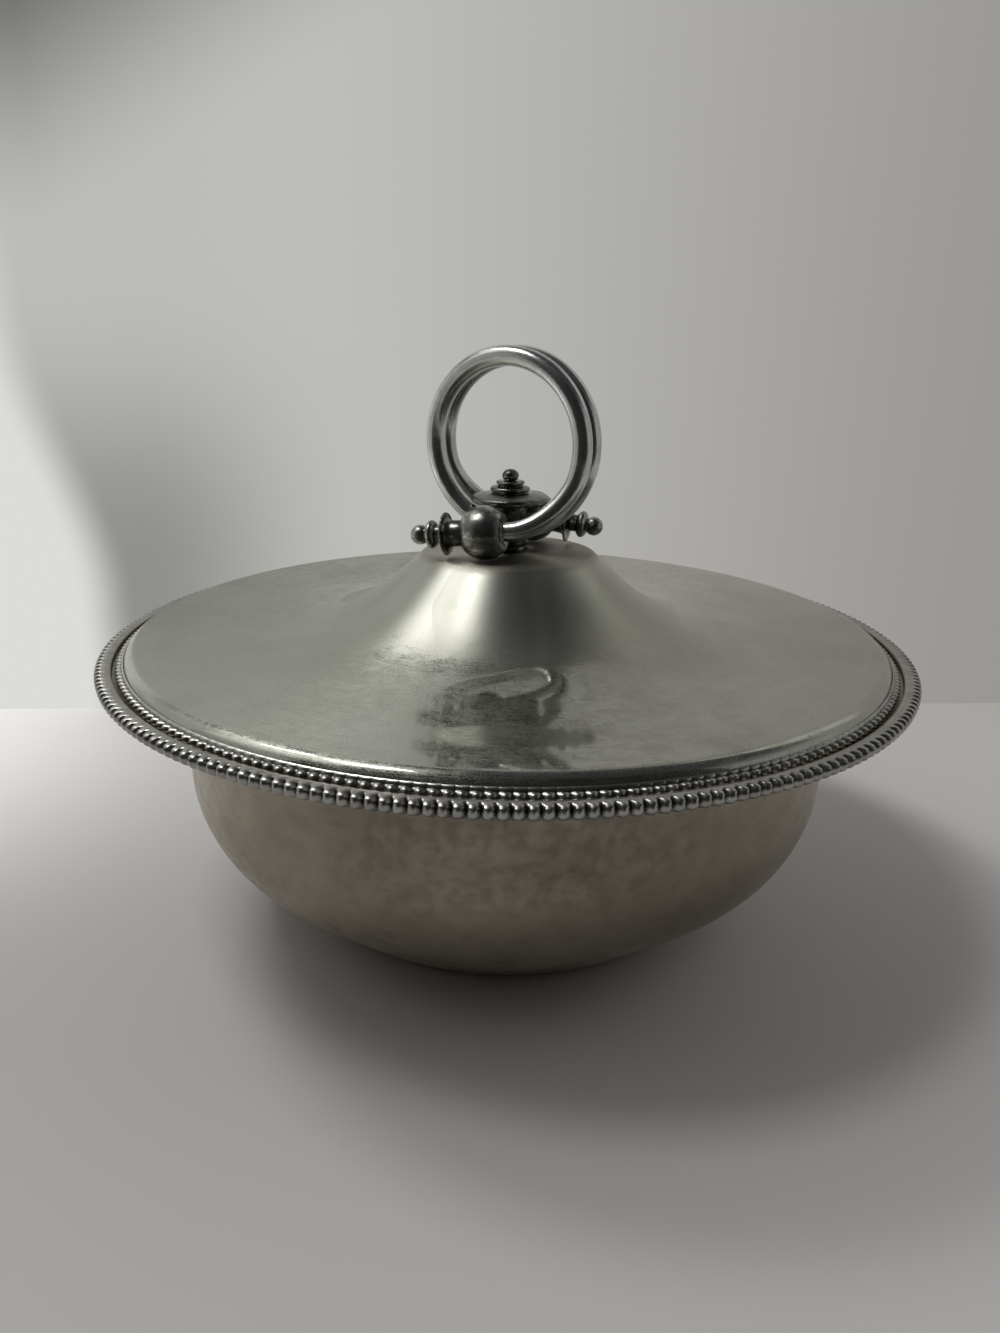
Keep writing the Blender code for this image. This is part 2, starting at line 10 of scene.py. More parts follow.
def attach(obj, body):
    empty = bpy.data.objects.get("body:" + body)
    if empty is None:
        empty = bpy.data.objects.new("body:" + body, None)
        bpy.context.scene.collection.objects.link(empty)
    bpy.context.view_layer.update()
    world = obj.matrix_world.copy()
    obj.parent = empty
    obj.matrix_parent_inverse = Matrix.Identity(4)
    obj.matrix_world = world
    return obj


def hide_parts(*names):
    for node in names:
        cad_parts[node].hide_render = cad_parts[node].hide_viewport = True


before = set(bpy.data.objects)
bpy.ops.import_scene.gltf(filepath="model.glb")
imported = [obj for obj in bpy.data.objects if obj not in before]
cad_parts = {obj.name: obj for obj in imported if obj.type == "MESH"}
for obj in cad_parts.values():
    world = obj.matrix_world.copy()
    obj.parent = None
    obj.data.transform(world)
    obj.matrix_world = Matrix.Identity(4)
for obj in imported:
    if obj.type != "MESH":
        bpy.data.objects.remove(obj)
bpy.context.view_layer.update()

# Bowl, spun from one sheet of aluminium, with a foot ring struck down from its base. Its flange steps up
# from a recess for the lid to a flat band, whose edge is rolled and pressed into beads. The satin of the
# outside has gone warm grey, with blotches, fine turning lines and a few pits. Lengths are in mm.
MM = 0.001
MERGE_DISTANCE = 0.002 * MM
SHARP_EDGE = math.radians(42.0)
SHEET = 1.6
FOOT_RISE = 0.8
FOOT_INNER_RADIUS = 50.0
FOOT_STEP = 2.0
FOOT_STEP_ROUNDING = 0.6
FOOT_RADIUS = 68.5
FOOT_ROUNDING = 5.0
LOWER_SLOPE = math.radians(40.5)
BELLY_ROUNDING = 42.0
WALL_RADIUS = 108.4
WALL_FLARE = math.radians(1.5)
FLANGE_UNDERSIDE = 86.2
FLANGE_ROUNDING = 2.6
LEDGE = FLANGE_UNDERSIDE + SHEET
RECESS_RADIUS = 128.6
RECESS_ROUNDING = 0.35
RECESS_TOP = 89.75
BOWL_BEADS = (7, 35)
BOWL_BEAD_ROWS = (
    ((130.6, FLANGE_UNDERSIDE), (130.6, FLANGE_UNDERSIDE), 1.0),
    ((131.5, FLANGE_UNDERSIDE), (131.2, 86.25), 1.0),
    ((132.4, 86.45), (131.4, 86.9), 0.9),
    ((133.15, 87.1), (131.5, 87.5), 0.92),
    ((133.5, 88.1), (131.5, 88.1), 0.92),
    ((133.43, 89.0), (131.4, 88.6), 0.91),
    ((133.2, 89.6), (131.3, 88.95), 0.88),
    ((132.8, 89.93), (131.2, 89.25), 0.82),
    ((132.0, 90.1), (131.05, 89.7), 0.7),
    ((131.0, 90.14), (130.85, 90.02), 1.0),
    ((129.9, 90.17), (129.9, 90.17), 1.0),
    ((128.95, 90.05), (128.95, 90.05), 1.0),
)
BEAD_COLUMNS = (-1.0, -0.88, -0.5, 0.0, 0.5, 0.88, 1.0)


def rounded(corners):
    """Turn corners (r, z, radius, steps) into points, with an arc at each corner that has a radius."""
    points = []
    for index, (r, z, radius, steps) in enumerate(corners):
        here = Vector((r, z))
        if not radius:
            points.append((r, z))
            continue
        back = (Vector(corners[index - 1][:2]) - here).normalized()
        ahead = (Vector(corners[index + 1][:2]) - here).normalized()
        half = back.angle(ahead) / 2
        centre = here + (back + ahead).normalized() * radius / math.sin(half)
        first = here + back * radius / math.tan(half)
        last = here + ahead * radius / math.tan(half)
        sweep = (first - centre).angle_signed(last - centre)
        for step in range(steps + 1):
            points.append(tuple(centre + Matrix.Rotation(-sweep * step / steps, 2) @ (first - centre)))
    return points


def parallel(corners, distance):
    """The same path moved sideways to its left."""
    moved = []
    for index, (r, z, radius, steps) in enumerate(corners):
        here = Vector((r, z))
        before = Vector(corners[max(index - 1, 0)][:2])
        after = Vector(corners[min(index + 1, len(corners) - 1)][:2])
        arriving = (here - before).normalized() if index else (after - here).normalized()
        leaving = (after - here).normalized() if index < len(corners) - 1 else arriving
        left = Vector((-arriving[1], arriving[0]))
        middle = (left + Vector((-leaving[1], leaving[0]))).normalized()
        place = here + middle * distance / middle.dot(left)
        turns_left = arriving[0] * leaving[1] - arriving[1] * leaving[0] > 0
        moved_radius = radius - distance if turns_left else radius + distance
        moved.append((place[0], place[1], max(moved_radius, 0.0) if radius else 0.0, steps))
    return moved


def repeat_round(shape, copies):
    """Repeat what a bmesh holds all round the axis, first a few times, then that group again."""
    angle = 2 * math.pi / math.prod(copies)
    for several in copies:
        bmesh.ops.spin(
            shape,
            geom=shape.verts[:] + shape.edges[:] + shape.faces[:],
            cent=(0.0, 0.0, 0.0),
            axis=(0.0, 0.0, 1.0),
            angle=angle * (several - 1),
            steps=several - 1,
            use_duplicate=True,
        )
        angle *= several
    bmesh.ops.remove_doubles(shape, verts=shape.verts, dist=MERGE_DISTANCE)


def add_shape(shape, other):
    """Add one bmesh to another."""
    mesh = bpy.data.meshes.new("part")
    other.to_mesh(mesh)
    other.free()
    shape.from_mesh(mesh)
    bpy.data.meshes.remove(mesh)


def spin_profile(shape, profile, sectors, steps, closed=False):
    """Spin a path of points (r, z) right round the upright axis, in sectors of so many steps."""
    turned = bmesh.new()
    corners = [turned.verts.new((r * MM, 0.0, z * MM)) for r, z in profile]
    edges = [turned.edges.new(pair) for pair in zip(corners, corners[1:])]
    if closed:
        edges.append(turned.edges.new((corners[-1], corners[0])))
    bmesh.ops.spin(
        turned,
        geom=corners + edges,
        cent=(0.0, 0.0, 0.0),
        axis=(0.0, 0.0, 1.0),
        angle=2 * math.pi / sectors,
        steps=steps,
    )
    repeat_round(turned, (sectors,))
    add_shape(shape, turned)


def add_beads(shape, rows, copies):
    """Add a beaded strip. Each row gives (r, z) on the crest of a bead, (r, z) in the gap, and its width.

    The first and the last row have one edge a bead, as the plain sheet has there.
    """
    pitch = 2 * math.pi / math.prod(copies)
    bead = bmesh.new()
    corners = [bead.verts.new((index * MM, 0.0, 0.0)) for index in range(len(rows))]
    edges = [bead.edges.new(pair) for pair in zip(corners, corners[1:])]
    for _ in BEAD_COLUMNS[1:]:
        made = bmesh.ops.extrude_edge_only(bead, edges=edges)["geom"]
        verts = [part for part in made if isinstance(part, bmesh.types.BMVert)]
        edges = [part for part in made if isinstance(part, bmesh.types.BMEdge)]
        bmesh.ops.translate(bead, verts=verts, vec=(0.0, MM, 0.0))
    for vert in bead.verts:
        row = round(vert.co.x / MM)
        crest, gap, width = rows[row]
        across = BEAD_COLUMNS[round(vert.co.y / MM)]
        if row in (0, len(rows) - 1):
            across = -1.0 if across <= 0.0 else 1.0
        dome = math.sqrt(max(0.0, 1.0 - (across / width) ** 2))
        r, z = Vector(gap).lerp(Vector(crest), dome)
        angle = (across + 1) / 2 * pitch
        vert.co = (r * MM * math.cos(angle), r * MM * math.sin(angle), z * MM)
    for face in bead.faces:
        face.material_index = 1
    repeat_round(bead, copies)
    add_shape(shape, bead)


def add_piece(name, shape, materials, body, slot, *nodes):
    """Make an object from a bmesh, on a body of the frame, in place of its plain solid."""
    bmesh.ops.remove_doubles(shape, verts=shape.verts, dist=MERGE_DISTANCE)
    bmesh.ops.recalc_face_normals(shape, faces=shape.faces)
    mesh = bpy.data.meshes.new(name)
    shape.to_mesh(mesh)
    shape.free()
    mesh.shade_smooth()
    mesh.set_sharp_from_angle(angle=SHARP_EDGE)
    piece = bpy.data.objects.new(name, mesh)
    bpy.context.scene.collection.objects.link(piece)
    for material in materials:
        mesh.materials.append(material)
    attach(piece, body)
    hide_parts(*nodes)
    return piece


def add_node(tree, kind, links=None, **settings):
    """Add a node, set its properties, and feed its inputs with values or with other nodes' outputs."""
    node = tree.nodes.new(kind)
    for label, value in settings.items():
        setattr(node, label, value)
    for socket, source in (links or {}).items():
        if isinstance(source, bpy.types.NodeSocket):
            tree.links.new(source, node.inputs[socket])
        else:
            node.inputs[socket].default_value = source
    return node


def math_of(tree, operation, *values):
    """A number worked out from numbers."""
    return add_node(tree, "ShaderNodeMath", dict(enumerate(values)), operation=operation).outputs[0]


def vector_of(tree, operation, *values):
    """A vector worked out from vectors."""
    return add_node(tree, "ShaderNodeVectorMath", dict(enumerate(values)), operation=operation).outputs[0]


def number_of(tree, operation, *values):
    """A number worked out from vectors."""
    node = add_node(tree, "ShaderNodeVectorMath", dict(enumerate(values)), operation=operation)
    return node.outputs["Value"]


def part_of(tree, vector, index):
    """One of the three parts of a vector."""
    return add_node(tree, "ShaderNodeSeparateXYZ", {0: vector}).outputs[index]


def noise_of(tree, place, seed, **settings):
    """Noise whose pattern a seed chooses."""
    links = {"Vector": place, "W": seed, **settings}
    return add_node(tree, "ShaderNodeTexNoise", links, noise_dimensions="4D").outputs["Fac"]


def fade(tree, value, low, high, to_low=0.0, to_high=1.0):
    """A value carried smoothly from one range to another, and held at its ends."""
    links = {"Value": value, "From Min": low, "From Max": high, "To Min": to_low, "To Max": to_high}
    return add_node(tree, "ShaderNodeMapRange", links, interpolation_type="SMOOTHSTEP").outputs["Result"]


def mixed(tree, share, first, second):
    """A colour between two colours."""
    node = add_node(tree, "ShaderNodeMix", data_type="RGBA")
    for socket, value in ((0, share), (6, first), (7, second)):
        if isinstance(value, bpy.types.NodeSocket):
            tree.links.new(value, node.inputs[socket])
        else:
            node.inputs[socket].default_value = (*value, 1.0) if isinstance(value, tuple) else value
    return node.outputs[2]


def stained(tree, colour, mask, share, stain):
    """A colour that a mask carries part of the way to a stain's colour."""
    return mixed(tree, math_of(tree, "MULTIPLY", mask, share), colour, stain)


def new_group(name, numbers, results):
    """Start a node group that takes a place in mm and some numbers, and gives masks."""
    group = bpy.data.node_groups.new(name, "ShaderNodeTree")
    group.interface.new_socket("Place", in_out="INPUT", socket_type="NodeSocketVector")
    for label, value in numbers.items():
        socket = group.interface.new_socket(label, in_out="INPUT", socket_type="NodeSocketFloat")
        socket.default_value = value
    for label in results:
        group.interface.new_socket(label, in_out="OUTPUT", socket_type="NodeSocketFloat")
    return group, group.nodes.new("NodeGroupInput").outputs, group.nodes.new("NodeGroupOutput").inputs


def turning_lines_group():
    """Fine lines left by the lathe and the cloth: they change fast across the turn and slowly along it."""
    group, given, result = new_group("turning_lines", {"Fineness": 3.0, "Reach": 5.0}, ["Lines"])
    flat = vector_of(group, "MULTIPLY", given["Place"], (1.0, 1.0, 0.0))
    out = math_of(group, "MULTIPLY", number_of(group, "LENGTH", flat), given["Fineness"])
    links = {0: vector_of(group, "NORMALIZE", flat), "Scale": given["Reach"]}
    round_way = add_node(group, "ShaderNodeVectorMath", links, operation="SCALE").outputs[0]
    links = {0: part_of(group, round_way, 0), 1: part_of(group, round_way, 1), 2: out}
    joined = add_node(group, "ShaderNodeCombineXYZ", links).outputs[0]
    up = math_of(group, "MULTIPLY", part_of(group, given["Place"], 2), given["Fineness"])
    lines = noise_of(group, joined, up, Scale=1.0, Detail=3.0, Roughness=0.62)
    group.links.new(lines, result["Lines"])
    return group


def blotches_group():
    """Soft stains, and a finer grain inside them."""
    group, given, result = new_group("blotches", {"Size": 20.0, "Seed": 0.0}, ["Blotches", "Grain"])
    place, seed = given["Place"], given["Seed"]
    scale = math_of(group, "DIVIDE", 1.0, given["Size"])
    wide = noise_of(group, place, seed, Scale=scale, Detail=5.0, Roughness=0.58, Distortion=0.7)
    fine_scale = math_of(group, "MULTIPLY", scale, 9.0)
    fine = noise_of(group, place, seed, Scale=fine_scale, Detail=4.0, Roughness=0.6)
    group.links.new(fade(group, wide, 0.34, 0.68), result["Blotches"])
    group.links.new(fade(group, fine, 0.3, 0.72), result["Grain"])
    return group


def pits_group():
    """Small round pits, in a share of the cells of a loose net, of many widths."""
    group, given, result = new_group("pits", {"Spacing": 9.0, "Share": 0.3, "Width": 0.08}, ["Pits"])
    scale = math_of(group, "DIVIDE", 1.0, given["Spacing"])
    cells = add_node(group, "ShaderNodeTexVoronoi", {"Vector": given["Place"], "Scale": scale})
    luck = add_node(group, "ShaderNodeSeparateColor", {0: cells.outputs["Color"]}).outputs
    width = math_of(group, "MULTIPLY", luck[1], given["Width"])
    spot = fade(group, cells.outputs["Distance"], math_of(group, "MULTIPLY", width, 0.4), width, 1.0, 0.0)
    kept = math_of(group, "LESS_THAN", luck[0], given["Share"])
    group.links.new(math_of(group, "MULTIPLY", spot, kept), result["Pits"])
    return group


def scratches_group():
    """Thin handling scratches that cross the turning lines in three directions."""
    group, given, result = new_group("scratches", {"Length": 14.0, "Amount": 0.5}, ["Scratches"])
    shrink = math_of(group, "DIVIDE", 1.0, given["Length"])
    thin = add_node(group, "ShaderNodeCombineXYZ", {0: shrink, 1: 2.2, 2: 0.6}).outputs[0]
    limit = math_of(group, "SUBTRACT", 0.86, math_of(group, "MULTIPLY", given["Amount"], 0.14))
    scratched = None
    for angle, seed in ((0.42, 3.0), (-0.9, 11.0), (1.75, 23.0)):
        links = {"Vector": given["Place"], "Angle": angle}
        turned = add_node(group, "ShaderNodeVectorRotate", links, rotation_type="Z_AXIS").outputs[0]
        stretched = vector_of(group, "MULTIPLY", turned, thin)
        lines = noise_of(group, stretched, seed, Scale=1.0, Detail=1.0, Roughness=0.4, Distortion=0.12)
        mask = fade(group, lines, limit, math_of(group, "ADD", limit, 0.04))
        scratched = mask if scratched is None else math_of(group, "MAXIMUM", scratched, mask)
    group.links.new(scratched, result["Scratches"])
    return group


TURNING_LINES = turning_lines_group()
BLOTCHES = blotches_group()
PITS = pits_group()
SCRATCHES = scratches_group()


def add_group(tree, group, **inputs):
    """Place a node group in a material with its own values, and give its outputs."""
    node = tree.nodes.new("ShaderNodeGroup")
    node.node_tree = group
    for label, value in inputs.items():
        if isinstance(value, bpy.types.NodeSocket):
            tree.links.new(value, node.inputs[label])
        else:
            node.inputs[label].default_value = value
    return node.outputs


def place_in_mm(tree):
    """The place on the piece in mm."""
    where = add_node(tree, "ShaderNodeTexCoord").outputs["Object"]
    links = {"Vector": where, "Scale": (1 / MM, 1 / MM, 1 / MM)}
    return add_node(tree, "ShaderNodeMapping", links).outputs[0]


def start_metal(name, roughness, anisotropic=0.0):
    """A bare metal, with a Principled shader that the effects of one material then feed."""
    material = bpy.data.materials.new(name)
    material.use_nodes = True
    tree = material.node_tree
    shader = tree.nodes["Principled BSDF"]
    shader.inputs["Metallic"].default_value = 1.0
    shader.inputs["Roughness"].default_value = roughness
    if anisotropic:
        shader.inputs["Anisotropic"].default_value = anisotropic
        shader.inputs["Anisotropic Rotation"].default_value = 0.25
        round_axis = add_node(tree, "ShaderNodeTangent", direction_type="RADIAL", axis="Z")
        tree.links.new(round_axis.outputs[0], shader.inputs["Tangent"])
    return material, tree, shader


def bump(tree, shader, layers):
    """Add the heights of several effects, each in mm, to the surface."""
    total = None
    for value, height in layers:
        raised = math_of(tree, "MULTIPLY", value, height * MM)
        total = raised if total is None else math_of(tree, "ADD", total, raised)
    node = add_node(tree, "ShaderNodeBump", {"Height": total, "Strength": 1.0, "Distance": 1.0})
    tree.links.new(node.outputs[0], shader.inputs["Normal"])


def bowl_satin():
    """Warm grey satin, brushed round, with stains, pits and a few scratches."""
    material, tree, shader = start_metal("bowl_satin", 0.36, anisotropic=0.7)
    place = place_in_mm(tree)
    lines = add_group(tree, TURNING_LINES, Place=place, Fineness=2.6, Reach=4.0)["Lines"]
    wide = add_group(tree, BLOTCHES, Place=place, Size=34.0, Seed=2.0)
    small = add_group(tree, BLOTCHES, Place=place, Size=9.0, Seed=8.0)
    pits = add_group(tree, PITS, Place=place, Spacing=9.0, Share=0.34, Width=0.11)["Pits"]
    scratches = add_group(tree, SCRATCHES, Place=place, Length=9.0, Amount=0.45)["Scratches"]
    colour = mixed(tree, wide["Blotches"], (0.25, 0.217, 0.168), (0.345, 0.308, 0.25))
    colour = stained(tree, colour, small["Blotches"], 0.2, (0.235, 0.19, 0.15))
    colour = stained(tree, colour, lines, 0.2, (0.64, 0.59, 0.50))
    colour = stained(tree, colour, pits, 0.75, (0.10, 0.085, 0.07))
    colour = stained(tree, colour, scratches, 0.35, (0.25, 0.24, 0.22))
    tree.links.new(colour, shader.inputs["Base Color"])
    tree.links.new(fade(tree, wide["Grain"], 0.0, 1.0, 0.32, 0.46), shader.inputs["Roughness"])
    bump(tree, shader, [(lines, 0.006), (wide["Blotches"], 0.012), (pits, -0.06), (scratches, -0.015)])
    return material


def rim_metal(name, colour, dirt_and_shade_colour, roughness):
    """Polished metal with dark stains, whose hollows are darkened as painted shade."""
    material, tree, shader = start_metal(name, roughness)
    grain = add_group(tree, BLOTCHES, Place=place_in_mm(tree), Size=7.0, Seed=5.0)
    pointed = add_node(tree, "ShaderNodeNewGeometry").outputs["Pointiness"]
    # Painted shade: the hollows between the beads turn nearly black.
    painted_hollow_shade = fade(tree, pointed, 0.42, 0.54, 1.0, 0.0)
    shade = stained(tree, colour, grain["Blotches"], 0.3, dirt_and_shade_colour)
    shade = stained(tree, shade, painted_hollow_shade, 0.85, dirt_and_shade_colour)
    tree.links.new(shade, shader.inputs["Base Color"])
    bump(tree, shader, [(grain["Grain"], 0.01)])
    return material


slope = Vector((math.cos(LOWER_SLOPE), math.sin(LOWER_SLOPE)))
wall_way = Vector((-math.sin(WALL_FLARE), -math.cos(WALL_FLARE)))
wall_top = Vector((WALL_RADIUS, FLANGE_UNDERSIDE))
foot_edge = Vector((FOOT_RADIUS, 0.0))
along = (wall_top - foot_edge).cross(wall_way) / slope.cross(wall_way)
belly = foot_edge + slope * along
outer_corners = [
    (0.0, FOOT_RISE, 0.0, 0),
    (FOOT_INNER_RADIUS, FOOT_RISE, FOOT_STEP_ROUNDING, 3),
    (FOOT_INNER_RADIUS + FOOT_STEP, 0.0, FOOT_STEP_ROUNDING, 3),
    (FOOT_RADIUS, 0.0, FOOT_ROUNDING, 10),
    (belly[0], belly[1], BELLY_ROUNDING, 30),
    (WALL_RADIUS, FLANGE_UNDERSIDE, FLANGE_ROUNDING, 8),
    (*BOWL_BEAD_ROWS[0][0], 0.0, 0),
]
inner_corners = parallel(outer_corners, SHEET)
inner_corners[-1] = (RECESS_RADIUS, LEDGE, RECESS_ROUNDING, 3)
inner_corners += [(RECESS_RADIUS, RECESS_TOP, 0.0, 0), (*BOWL_BEAD_ROWS[-1][0], 0.0, 0)]
bowl_shape = bmesh.new()
spin_profile(bowl_shape, rounded(outer_corners), *BOWL_BEADS)
spin_profile(bowl_shape, rounded(inner_corners), *BOWL_BEADS)
add_beads(bowl_shape, BOWL_BEAD_ROWS, BOWL_BEADS)
bowl_rim = rim_metal("bowl_rim_polish", (0.46, 0.452, 0.425), (0.04, 0.038, 0.034), 0.29)
add_piece("bowl_sheet", bowl_shape, [bowl_satin(), bowl_rim], "bowl_body", "bowl_satin", "bowl")

# Lid, spun from one sheet of aluminium: a low brim, a round shoulder, a shallow trough and a raised boss in
# the middle. A ring of small beads runs round its lower edge, which rests loose in the recess of the bowl. It
# is a satin with a haze of fine wear, brushed duller on the boss, whose flat top has a brown tarnish.
LID_SEAT = 88.1
LID_WALL_RADIUS = 125.0
LID_WALL_FOOT = 1.2
BRIM_HEIGHT = 6.0
BRIM_SLOPE = math.radians(3.2)
SHOULDER_ROUNDING = 3.8
TROUGH_RADIUS = 90.0
TROUGH_RISE = math.radians(5.0)
TROUGH_ROUNDING = 135.0
BOSS_HEIGHT = 31.3
BOSS_RADIUS = 28.4
BOSS_FLANK = math.radians(42.5)
BOSS_FOOT_ROUNDING = 61.0
BOSS_ROUNDING = 3.0
BOSS_TOP = LID_SEAT + BOSS_HEIGHT
HOLE_RADIUS = 1.9
LID_BEADS = (16, 15)
LID_BEAD_ROWS = (
    ((125.2, 0.0), (125.2, 0.0), 1.0),
    ((125.9, 0.0), (125.8, 0.05), 1.0),
    ((126.7, 0.2), (126.05, 0.35), 0.8),
    ((127.25, 0.7), (126.15, 0.75), 0.74),
    ((127.4, 1.3), (126.15, 1.2), 0.72),
    ((127.25, 1.85), (126.1, 1.6), 0.72),
    ((126.75, 2.2), (125.9, 1.9), 0.68),
    ((125.75, 2.3), (125.5, 2.1), 0.8),
    ((125.62, 2.75), (125.45, 2.7), 1.0),
    ((125.3, 3.1), (125.22, 3.0), 1.0),
    ((124.98, 3.2), (124.98, 3.2), 1.0),
)


def speckle_group():
    """Fine specks where the polish is worn. The share tells how much of the surface they cover."""
    group, given, result = new_group("speckle", {"Size": 0.4, "Share": 0.5}, ["Speckle"])
    scale = math_of(group, "DIVIDE", 1.0, given["Size"])
    links = {"Vector": given["Place"], "Scale": scale, "Detail": 3.0, "Roughness": 0.7}
    noise = add_node(group, "ShaderNodeTexNoise", links).outputs["Fac"]
    middle = math_of(group, "SUBTRACT", 0.72, math_of(group, "MULTIPLY", given["Share"], 0.44))
    low = math_of(group, "SUBTRACT", middle, 0.05)
    high = math_of(group, "ADD", middle, 0.05)
    group.links.new(fade(group, noise, low, high), result["Speckle"])
    return group


SPECKLE = speckle_group()


def lid_satin():
    """Grey satin: a clear mirror between fine specks of haze, evenly brushed and duller on the boss."""
    material, tree, shader = start_metal("lid_satin", 0.12, anisotropic=0.75)
    place = place_in_mm(tree)
    rise = part_of(tree, place, 2)
    lines = add_group(tree, TURNING_LINES, Place=place, Fineness=3.4, Reach=5.5)["Lines"]
    wide = add_group(tree, BLOTCHES, Place=place, Size=42.0, Seed=4.0)
    small = add_group(tree, BLOTCHES, Place=place, Size=7.0, Seed=6.0)
    pits = add_group(tree, PITS, Place=place, Spacing=8.0, Share=0.25, Width=0.08)["Pits"]
    scratches = add_group(tree, SCRATCHES, Place=place, Length=12.0, Amount=0.8)["Scratches"]
    boss_top = fade(tree, rise, BOSS_TOP - 2.2, BOSS_TOP - 0.3)
    tarnish = math_of(tree, "MULTIPLY", boss_top, fade(tree, small["Grain"], 0.0, 1.0, 0.35, 0.8))
    colour = mixed(tree, wide["Blotches"], (0.40, 0.405, 0.35), (0.47, 0.475, 0.425))
    colour = stained(tree, colour, small["Blotches"], 0.14, (0.36, 0.35, 0.31))
    colour = stained(tree, colour, lines, 0.12, (0.66, 0.67, 0.64))
    colour = mixed(tree, tarnish, colour, (0.36, 0.33, 0.27))
    colour = stained(tree, colour, pits, 0.5, (0.16, 0.15, 0.13))
    colour = stained(tree, colour, scratches, 0.45, (0.24, 0.235, 0.21))
    tree.links.new(colour, shader.inputs["Base Color"])

    # How much haze: streaks along the turning, small patches, and more of it up the foot of the boss.
    streaks = add_group(tree, TURNING_LINES, Place=place, Fineness=3.0, Reach=12.0)["Lines"]
    patches = fade(tree, small["Blotches"], 0.0, 1.0, -0.05, 0.1)
    dull = math_of(tree, "ADD", fade(tree, streaks, 0.3, 0.7, 0.36, 0.58), patches)
    dull = math_of(tree, "ADD", dull, fade(tree, rise, LID_SEAT + 8.0, LID_SEAT + 12.0, 0.0, 0.3))
    grain = add_group(tree, SPECKLE, Place=place, Size=0.22, Share=dull)["Speckle"]
    specks = add_group(tree, SPECKLE, Place=place, Size=0.9, Share=0.22)["Speckle"]
    haze = math_of(tree, "MAXIMUM", grain, math_of(tree, "MULTIPLY", specks, 0.55))
    rough = fade(tree, haze, 0.0, 1.0, 0.05, 0.40)
    scrubbed = fade(tree, rise, LID_SEAT + 8.5, LID_SEAT + 16.0, 0.0, 0.27)
    scrubbed = math_of(tree, "ADD", scrubbed, math_of(tree, "MULTIPLY", lines, 0.06))
    rough = math_of(tree, "MAXIMUM", rough, scrubbed)
    rough = math_of(tree, "ADD", rough, math_of(tree, "MULTIPLY", boss_top, 0.12))
    tree.links.new(rough, shader.inputs["Roughness"])
    bump(tree, shader, [(lines, 0.0012), (wide["Blotches"], 0.008), (pits, -0.03), (scratches, -0.008)])
    return material


def lifted(points):
    """Points measured from the lid's lower edge, lifted to where it rests in the bowl."""
    return [(r, z + LID_SEAT) for r, z in points]


trough = Vector((TROUGH_RADIUS, BRIM_HEIGHT - (LID_WALL_RADIUS - TROUGH_RADIUS) * math.tan(BRIM_SLOPE)))
rise_way = Vector((-math.cos(TROUGH_RISE), math.sin(TROUGH_RISE)))
flank_way = Vector((-math.cos(BOSS_FLANK), math.sin(BOSS_FLANK)))
boss_edge = Vector((BOSS_RADIUS, BOSS_HEIGHT))
along = (boss_edge - trough).cross(flank_way) / rise_way.cross(flank_way)
boss_foot = trough + rise_way * along
upper_corners = [
    (LID_WALL_RADIUS, LID_WALL_FOOT, 0.0, 0),
    (LID_WALL_RADIUS, BRIM_HEIGHT, SHOULDER_ROUNDING, 14),
    (trough[0], trough[1], TROUGH_ROUNDING, 10),
    (boss_foot[0], boss_foot[1], BOSS_FOOT_ROUNDING, 26),
    (BOSS_RADIUS, BOSS_HEIGHT, BOSS_ROUNDING, 12),
    (HOLE_RADIUS, BOSS_HEIGHT, 0.0, 0),
]
under_corners = parallel(upper_corners, SHEET)
under_corners[0] = (under_corners[0][0], 0.0, 0.0, 0)
upper_path = [LID_BEAD_ROWS[-1][0]] + rounded(upper_corners)[2:]
under_path = rounded(under_corners)[::-1] + [LID_BEAD_ROWS[0][0]]
lid_shape = bmesh.new()
spin_profile(lid_shape, lifted(upper_path + under_path), *LID_BEADS)
add_beads(lid_shape, [(*lifted([crest, gap]), width) for crest, gap, width in LID_BEAD_ROWS], LID_BEADS)
lid_ring = rim_metal("lid_ring_polish", (0.49, 0.49, 0.465), (0.05, 0.047, 0.042), 0.28)
add_piece("lid_sheet", lid_shape, [lid_satin(), lid_ring], "lid_body", "lid_satin", "lid")

# Handle wire, one polished rod wound as two turns that stand upright. The middle of the rod lies across the
# boss under the saddle, drilled for the stud, and its ends go into the side finials.
WIRE_RADIUS = 3.2
COIL_RADIUS = 27.6
COIL_PITCH = 6.9
CROSSING = 126.9
COIL_END_ANGLE = math.radians(80.0)
STEPS_PER_TURN = 96
TURN_STEP = 2 * math.pi / STEPS_PER_TURN
LEAD_STEPS = 28
WIRE_SIDES = 10
FIT_GAP = 0.3
BALL_RADIUS = 8.7
BALL_PLACE = Vector((0.5, -18.1, BOSS_TOP + FIT_GAP + BALL_RADIUS))
SPLAY = math.radians(11.5)
DROOP = math.radians(5.7)
OUTWARD = Vector((-math.cos(DROOP) * math.cos(SPLAY), -math.cos(DROOP) * math.sin(SPLAY), -math.sin(DROOP)))
MOUTH_DISTANCE = 6.4
BORE_DEPTH = 5.0


def polished_wire():
    """Polished metal with smears, pinholes and bright scratches."""
    material, tree, shader = start_metal("polished_wire", 0.12)
    place = place_in_mm(tree)
    smears = add_group(tree, BLOTCHES, Place=place, Size=6.0, Seed=3.0)
    pits = add_group(tree, PITS, Place=place, Spacing=2.6, Share=0.18, Width=0.10)["Pits"]
    scratches = add_group(tree, SCRATCHES, Place=place, Length=5.0, Amount=0.9)["Scratches"]
    colour = stained(tree, (0.66, 0.67, 0.66), smears["Blotches"], 0.5, (0.46, 0.46, 0.45))
    colour = stained(tree, colour, pits, 0.6, (0.14, 0.13, 0.12))
    colour = stained(tree, colour, scratches, 0.4, (0.9, 0.9, 0.88))
    tree.links.new(colour, shader.inputs["Base Color"])
    tree.links.new(fade(tree, smears["Grain"], 0.0, 1.0, 0.17, 0.27), shader.inputs["Roughness"])
    bump(tree, shader, [(smears["Grain"], 0.008), (pits, -0.03), (scratches, -0.01)])
    return material


